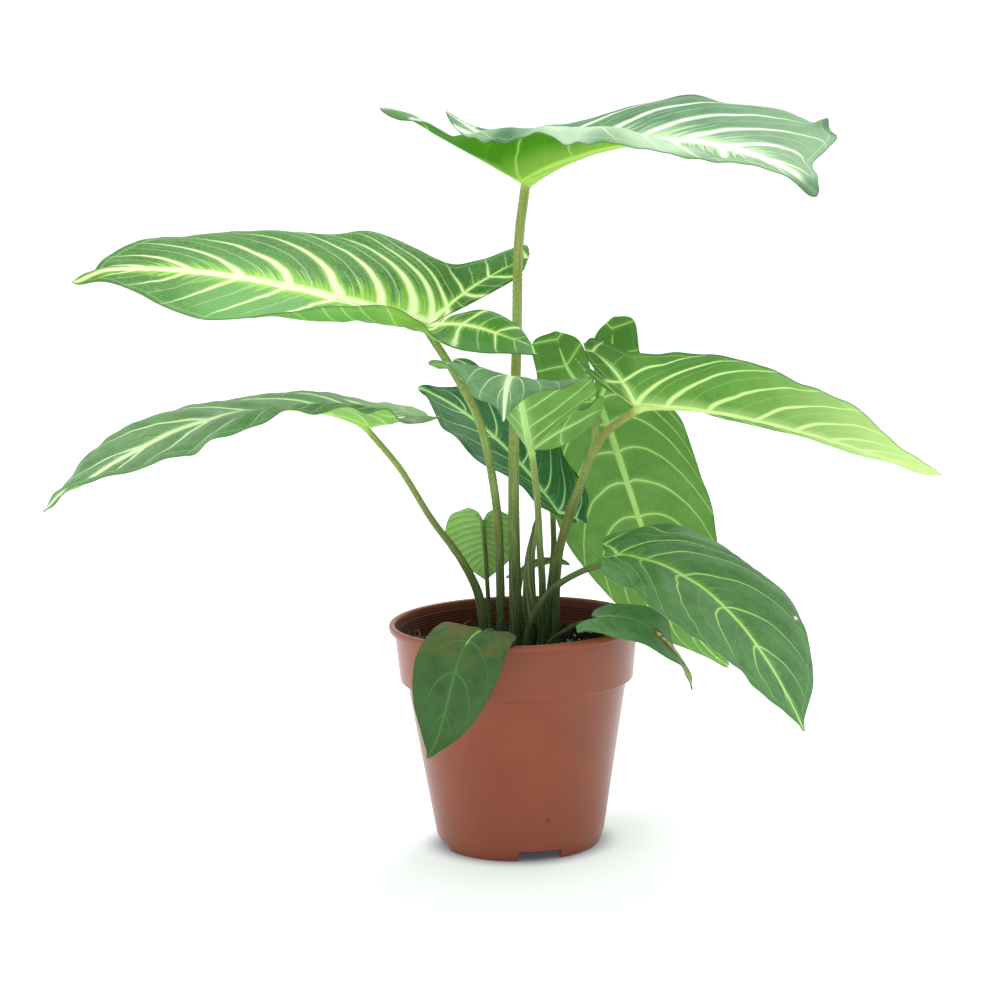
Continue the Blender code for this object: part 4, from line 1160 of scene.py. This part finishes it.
def blade_finish(leaf):
    """Green between pale veins above, and yellow green with thin raised veins below.

    Each vein is a band that narrows from its start to its end. Above, a glow with feathered edges lies
    beside the middle vein and a narrower one beside each side vein. Below, the glow is soft, and the yellow
    green is made brighter as painted light shining through the blade from behind.
    """
    look = LOOKS[leaf.name]
    finish = Finish(f"blade_{leaf.name}", 0.42, Specular_IOR_Level=look.shine)
    number, out, spacing = finish.parts("vein")
    rib, along, upper = finish.parts("rib")
    x, y, margin = finish.parts("flat")
    flat = finish.vector(x, y)
    wander = finish.noise(flat, 0.035, 2.0) - 0.5
    streak = finish.noise(finish.vector(number * 22, out * 2.5), 1.0, 3.0, 0.6)
    cloud = finish.noise(flat, 0.05, 7.0, 0.68)
    mesh = finish.cells(finish.vector(x + wander * 3, y), 0.28)
    inward = 1 - out
    near_tip = 1 - along
    forward = x.rise(-14.0, 2.0) * (1 - look.lobe_share) + look.lobe_share
    tip = look.tip_light and (x / leaf.length).rise(0.2, 1.1) * look.tip_light
    warm = look.blush and along.rise(0.45, 0.0) * cloud.rise(0.42, 0.62) * look.blush
    edge = margin.rise(0.7, 0.1) * 0.45
    spots_and_painted_light = spots_at(SPOTS_AND_PAINTED_SHADE.get(leaf.name, ()), x + wander * 14, y + wander * 9)

    bent = number + wander * 0.25
    to_side = bent.to_whole() * spacing
    to_minor = (bent + 0.5).to_whole() * spacing
    widest = y.rise(-1.0, 1.0) * (look.vein[0] - look.vein[1]) + look.vein[1]
    side_width = (inward ** 1.05) * widest * forward + 0.2
    side = to_side.rise(side_width * 1.25 + 0.3, side_width * 0.45) * out.rise(1.3, 0.4)
    minor = to_minor.rise(0.7, 0.15) * out.rise(0.96, 0.7) * spacing.rise(7.0, 13.0) * look.minor
    rib_width = (near_tip ** 0.7) * look.rib * forward + 0.25
    middle = rib.rise(rib_width * 1.15 + 0.3, rib_width * 0.6)
    seam = (margin - 3.2).size().rise(0.6, 0.12) * (look.minor * 0.5 + 0.05)
    veins = middle.larger(side).larger(minor).larger(seam)
    feather = rib * (streak.rise(0.3, 0.75) * 1.6 + 0.35)
    halo = feather.rise(near_tip * look.halo * forward + 1.5, rib_width * 0.5) * 0.9
    beside = to_side.rise(side_width * 2.0 + 1.2, side_width) * inward * 0.75
    above = finish.layered(
        tinted(look.green, 0.80),
        (cloud.rise(0.32, 0.68), tinted(look.green, 1.20)),
        (streak.rise(0.45, 0.75) * 0.22, tinted(look.green, 1.5)),
        (mesh.rise(0.10, 0.0) * look.mesh, look.glow),
        (tip, look.glow),
        (warm, BLUSH),
        *spots_and_painted_light,
        (halo.larger(beside), look.glow),
        (veins, look.pale),
        *spots_at(MARKS_AND_PAINTED_LIGHT.get(leaf.name, ()), x + wander * 3, y + wander * 2),
        (edge, look.edge),
    )

    thin_width = (inward ** 0.7) * look.under_vein * forward + 0.12
    thin_side = to_side.rise(thin_width * 1.3 + 0.35, thin_width * 0.5)
    broad = near_tip.rise(0.0, 0.45) ** 1.5
    thin_rib = near_tip * look.rib
    thin_middle = rib.rise(thin_rib * 0.55 + broad * 0.65 + 0.25, thin_rib * 0.35 + broad * 0.2)
    soft_side = to_side.rise(inward * 2.6 + 1.6, 0.0) * look.under_share * 0.22
    soft_middle = rib.rise(near_tip * look.halo * 0.8 + broad * 1.6 + 0.4, 0.0) * 0.45
    lines = (thin_side.larger(minor * 0.5) * look.under_share).larger(thin_middle).larger(seam)
    # Below: the underside's yellow green, made brighter as painted light shining through the blade from
    # behind
    under = finish.layered(
        tinted(look.under, 0.87),
        (cloud.rise(0.3, 0.7), tinted(look.under, 1.12)),
        (mesh.rise(0.08, 0.0) * look.mesh, tinted(look.under, 1.5)),
        *spots_and_painted_light,
        (tip, look.under_pale),
        (soft_side.larger(soft_middle), look.under_pale),
        (lines, look.under_pale),
        (edge, look.edge),
    )

    colour = finish.blend(upper, under, above)
    if look.slit:
        torn = (y - 1.5 + wander * 12).size() + (x - 49).size().rise(9.0, 18.0) * 8
        colour = finish.layered(
            colour,
            (torn.rise(6.5, 4.0), (0.24, 0.22, 0.045)),
            (torn.rise(4.0, 2.8), (0.20, 0.095, 0.025)),
            (torn.rise(2.2, 1.4) * streak.rise(0.42, 0.52), (0.88, 0.78, 0.58)),
        )
    height = (mesh.rise(0.0, 0.12) * 0.25 + streak * 0.35 + cloud * 0.4) - veins * 0.5
    finish.feed(Base_Color=colour, Roughness=0.60 - upper * 0.18 + cloud * 0.08,
                Normal=finish.relief(height, 0.0006, 0.45))
    return finish.material


def stem_finish(leaf):
    """Olive green, darkened towards the foot by painted shade, with lengthwise streaks, brown flecks and pale
    hairs. Where it carries on under the middle vein it takes the vein's colour."""
    finish = Finish(f"stalk_{leaf.name}", 0.5, Specular_IOR_Level=0.12)
    height, past, hair = finish.parts("stem")
    streak = finish.noise(finish.scaled(finish.field("grain"), (7.0, 7.0, 7.0)), 1.0, 3.0)
    place = finish.place()
    fleck = finish.noise(place, 900.0, 2.0)
    cloud = finish.noise(place, 60.0, 2.0)
    # Painted shade: dark low on the stem, giving way higher up to its own olive colour
    low = finish.blend(streak.rise(0.4, 0.6), (0.014, 0.034, 0.012), (0.055, 0.100, 0.032))
    high = finish.blend(streak.rise(0.3, 0.7), (0.25, 0.39, 0.09), (0.45, 0.60, 0.19))
    high = finish.blend(cloud.rise(0.3, 0.6) * LOOKS[leaf.name].brown, high, (0.34, 0.27, 0.07))
    colour = finish.layered(
        low,
        (height.rise(0.0, 165.0), high),
        (fleck.rise(0.55, 0.66) * 0.45, (0.12, 0.080, 0.030)),
        (past.rise(-5.0, 3.0) * 0.9, LOOKS[leaf.name].under_pale),
        (hair * 0.5, (0.44, 0.48, 0.22)),
    )
    relief = finish.relief(streak * 0.8 + fleck * 0.3, 0.0006, 0.6)
    finish.feed(Base_Color=colour, Roughness=0.45 + cloud * 0.15, Normal=relief)
    return finish.material


def spear_finish():
    """Dark olive with paler lengthwise stripes and a brownish tip."""
    finish = Finish("rolled_leaf", 0.48, Specular_IOR_Level=0.2)
    turn, height, share = finish.parts("roll")
    stripe = finish.noise(finish.vector(turn * 16, height * 0.02), 1.0, 3.0)
    colour = finish.layered(
        (0.055, 0.080, 0.028),
        (stripe.rise(0.38, 0.6), (0.21, 0.29, 0.10)),
        (turn.rise(0.10, 0.0), (0.24, 0.32, 0.12)),
        (height.rise(20.0, 0.0), (0.02, 0.04, 0.015)),
        (share.rise(0.93, 1.0), (0.10, 0.09, 0.04)),
    )
    finish.feed(Base_Color=colour, Normal=finish.relief(stripe, 0.0008, 0.7))
    return finish.material


def pot_finish():
    """Satin terracotta plastic under a thin gloss: faint clouds, fine moulding grain and a few dark specks.
    Inside the collar it is duller, and painted shade darkens it there and towards the foot."""
    finish = Finish("terracotta_plastic", 0.36, Specular_IOR_Level=0.2, Coat_Roughness=0.07)
    place = finish.place()
    x, y, z = finish.split(place)
    wall = (z - COLLAR_LOW[1] * METRES) * COLLAR_SLOPE + (COLLAR_LOW[0] - WALL / 2) * METRES
    # Inside the collar, where painted shade darkens it and it is duller
    within = ((x * x + y * y) ** 0.5 - wall).rise(0.0004, -0.0004) * z.rise(*COLLAR_SHADE)
    cloud = finish.noise(place, 22.0, 4.0)
    grain = finish.noise(place, 1500.0, 2.0)
    fine = finish.noise(finish.scaled(place, (60.0, 60.0, 260.0)), 1.0, 3.0)
    dots = finish.cells(place, 55.0, "F1").rise(0.10, 0.05) * finish.noise(place, 18.0, 1.0).rise(0.56, 0.64)
    colour = finish.layered(
        (0.225, 0.049, 0.018),
        (cloud.rise(0.3, 0.7), (0.270, 0.063, 0.026)),
        (fine.rise(0.45, 0.75) * 0.04, (0.40, 0.14, 0.08)),
        # painted shade: darker towards the foot
        (z.rise(0.075, 0.0) * 0.5, (0.190, 0.043, 0.019)),
        (dots * 0.55, (0.08, 0.025, 0.015)),
        # painted shade inside the collar
        (within, (0.105, 0.026, 0.014)),
    )
    finish.feed(
        Base_Color=colour,
        Roughness=0.34 + cloud * 0.12 + within * 0.2,
        Coat_Weight=0.42 - cloud * 0.2 - within * 0.35,
        Normal=finish.relief(grain * 0.3 + cloud * 0.7, 0.0003, 0.2),
    )
    return finish.material


def soil_finish():
    """Moist peat: near black with brown crumbs."""
    finish = Finish("peat", 0.9, Specular_IOR_Level=0.1)
    place = finish.place()
    crumbs = finish.noise(place, 420.0, 6.0, 0.65)
    patch = finish.noise(place, 90.0, 3.0)
    colour = finish.layered(
        (0.004, 0.003, 0.003),
        (crumbs.rise(0.35, 0.68), (0.034, 0.022, 0.015)),
        (patch.rise(0.55, 0.75) * 0.5, (0.045, 0.028, 0.018)),
    )
    finish.feed(Base_Color=colour, Normal=finish.relief(crumbs, 0.002, 0.9))
    return finish.material


def grain_finish(name, dark, light, roughness):
    """Loose grains, each with its own shade between two colours."""
    finish = Finish(name, roughness, Specular_IOR_Level=0.15)
    tone = finish.field("tone", "Fac")
    pits = finish.noise(finish.place(), 2200.0, 3.0)
    colour = finish.blend(tone * 0.7 + pits * 0.4, dark, light)
    finish.feed(Base_Color=colour, Normal=finish.relief(pits, 0.0005, 0.6))
    return finish.material


def fibre_finish():
    """Dry roots, brown to straw."""
    finish = Finish("root_fibres", 0.8)
    cloud = finish.noise(finish.place(), 300.0, 2.0)
    finish.feed(Base_Color=finish.blend(cloud, (0.16, 0.09, 0.05), (0.36, 0.25, 0.15)))
    return finish.material


# The studio, in metres

CAMERA_PLACE = (0.0, -1.622, 0.459)
CAMERA_TURN = (-9.34, -1.334, -0.25)  # pitch, roll and yaw
LENS = 108.0
SENSOR = 36.0
FLOOR_REACH = 30.0
FLOOR_HEIGHT = -0.0003  # just clear of the pot
POT_SHADE = (0.036, 0.058)  # radii between which the painted shadow on the floor under the pot fades to the pale floor
SKY_STRENGTH = 1.03
LAMPS = (  # name, place, size and power
    ("key", (0.5, 0.9, 1.9), 1.3, 22),
    ("fill", (-1.6, -1.0, 1.0), 1.0, 5),
)
LAMP_AIM = (0, 0, 0.2)


def set_up(name, data, right, up, place):
    """A camera or lamp at a place, with these directions to its right and up."""
    holder = bpy.data.objects.new(name, data)
    rows = np.eye(4)
    rows[:3] = np.stack([right, up, np.cross(right, up), place], axis=1)
    holder.matrix_world = Matrix(rows.tolist())
    bpy.context.scene.collection.objects.link(holder)
    return holder


def place_camera():
    """A long lens a little above the leaves, looking down along +Y."""
    pitch, roll, yaw = (math.radians(angle) for angle in CAMERA_TURN)
    forward = np.array([math.sin(yaw) * math.cos(pitch), math.cos(yaw) * math.cos(pitch), math.sin(pitch)])
    level = np.array([math.cos(yaw), -math.sin(yaw), 0])
    upward = np.cross(level, forward)
    lens = bpy.data.cameras.new("camera")
    lens.lens = LENS
    lens.sensor_width = SENSOR
    lens.clip_end = 200
    right = level * math.cos(roll) + upward * math.sin(roll)
    up = upward * math.cos(roll) - level * math.sin(roll)
    bpy.context.scene.camera = set_up("camera", lens, right, up, CAMERA_PLACE)


def light_studio():
    """A pale floor under a bright even sky, with one broad soft lamp above and behind, and a weak one at the
    left. Under the pot a shadow is painted on the floor."""
    scene = bpy.context.scene
    scene.view_settings.view_transform = "Standard"
    world = bpy.data.worlds.new("studio")
    world.use_nodes = True
    sky = world.node_tree.nodes["Background"]
    sky.inputs["Color"].default_value = (1, 1, 1, 1)
    sky.inputs["Strength"].default_value = SKY_STRENGTH
    scene.world = world
    for name, place, size, power in LAMPS:
        lamp = bpy.data.lights.new(name, "AREA")
        lamp.shape = "SQUARE"
        lamp.size = size
        lamp.energy = power
        back = unit(np.array(place) - np.array(LAMP_AIM))
        across = unit(np.cross((0, 0, 1), back))
        set_up(name, lamp, across, np.cross(back, across), place)

    paint = Finish("floor", 0.9, Emission_Strength=0.22)
    x, y, _ = paint.split(paint.place())
    # Painted shadow: under the pot the floor is dark and glows less, fading out between the radii of
    # POT_SHADE
    away = ((x * x + y * y) ** 0.5).rise(*POT_SHADE)
    paint.feed(Base_Color=paint.blend(away, (0.30, 0.31, 0.36), (0.90, 0.975, 1.0)),
               Emission_Color=paint.blend(away, (0.20, 0.21, 0.26), (1.0, 1.0, 1.0)))
    square = ((-1, -1), (1, -1), (1, 1), (-1, 1))
    corners = [(a * FLOOR_REACH, b * FLOOR_REACH, FLOOR_HEIGHT) for a, b in square]
    floor = mesh_object("floor", corners, [(0, 1, 2, 3)])
    floor.data.materials.append(paint.material)


def main():
    """The studio, and then the whole plant from the pot up."""
    place_camera()
    light_studio()
    make_pot(pot_finish())
    make_soil(soil_finish())
    crumbs = grain_finish("crumbs", (0.005, 0.004, 0.003), (0.045, 0.028, 0.018), 0.9)
    scatter("peat_crumbs", CLODS, (0.5, 2.4), 11, crumbs, 0.25)
    perlite = grain_finish("perlite", (0.45, 0.45, 0.42), (0.85, 0.85, 0.82), 0.7)
    scatter("perlite", PERLITE, (0.5, 2.1), 12, perlite, 0.1)
    make_fibres(fibre_finish())
    for seed, leaf in enumerate(LEAVES):
        make_blade(leaf, blade_finish(leaf))
        make_stem(leaf, stem_finish(leaf), seed)
    make_spear(spear_finish())


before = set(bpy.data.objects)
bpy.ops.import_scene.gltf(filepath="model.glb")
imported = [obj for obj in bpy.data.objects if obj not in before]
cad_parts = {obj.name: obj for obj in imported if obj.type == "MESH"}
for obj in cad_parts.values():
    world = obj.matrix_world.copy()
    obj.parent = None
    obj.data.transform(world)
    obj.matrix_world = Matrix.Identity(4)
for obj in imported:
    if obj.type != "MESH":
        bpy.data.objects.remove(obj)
solids_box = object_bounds()
main()
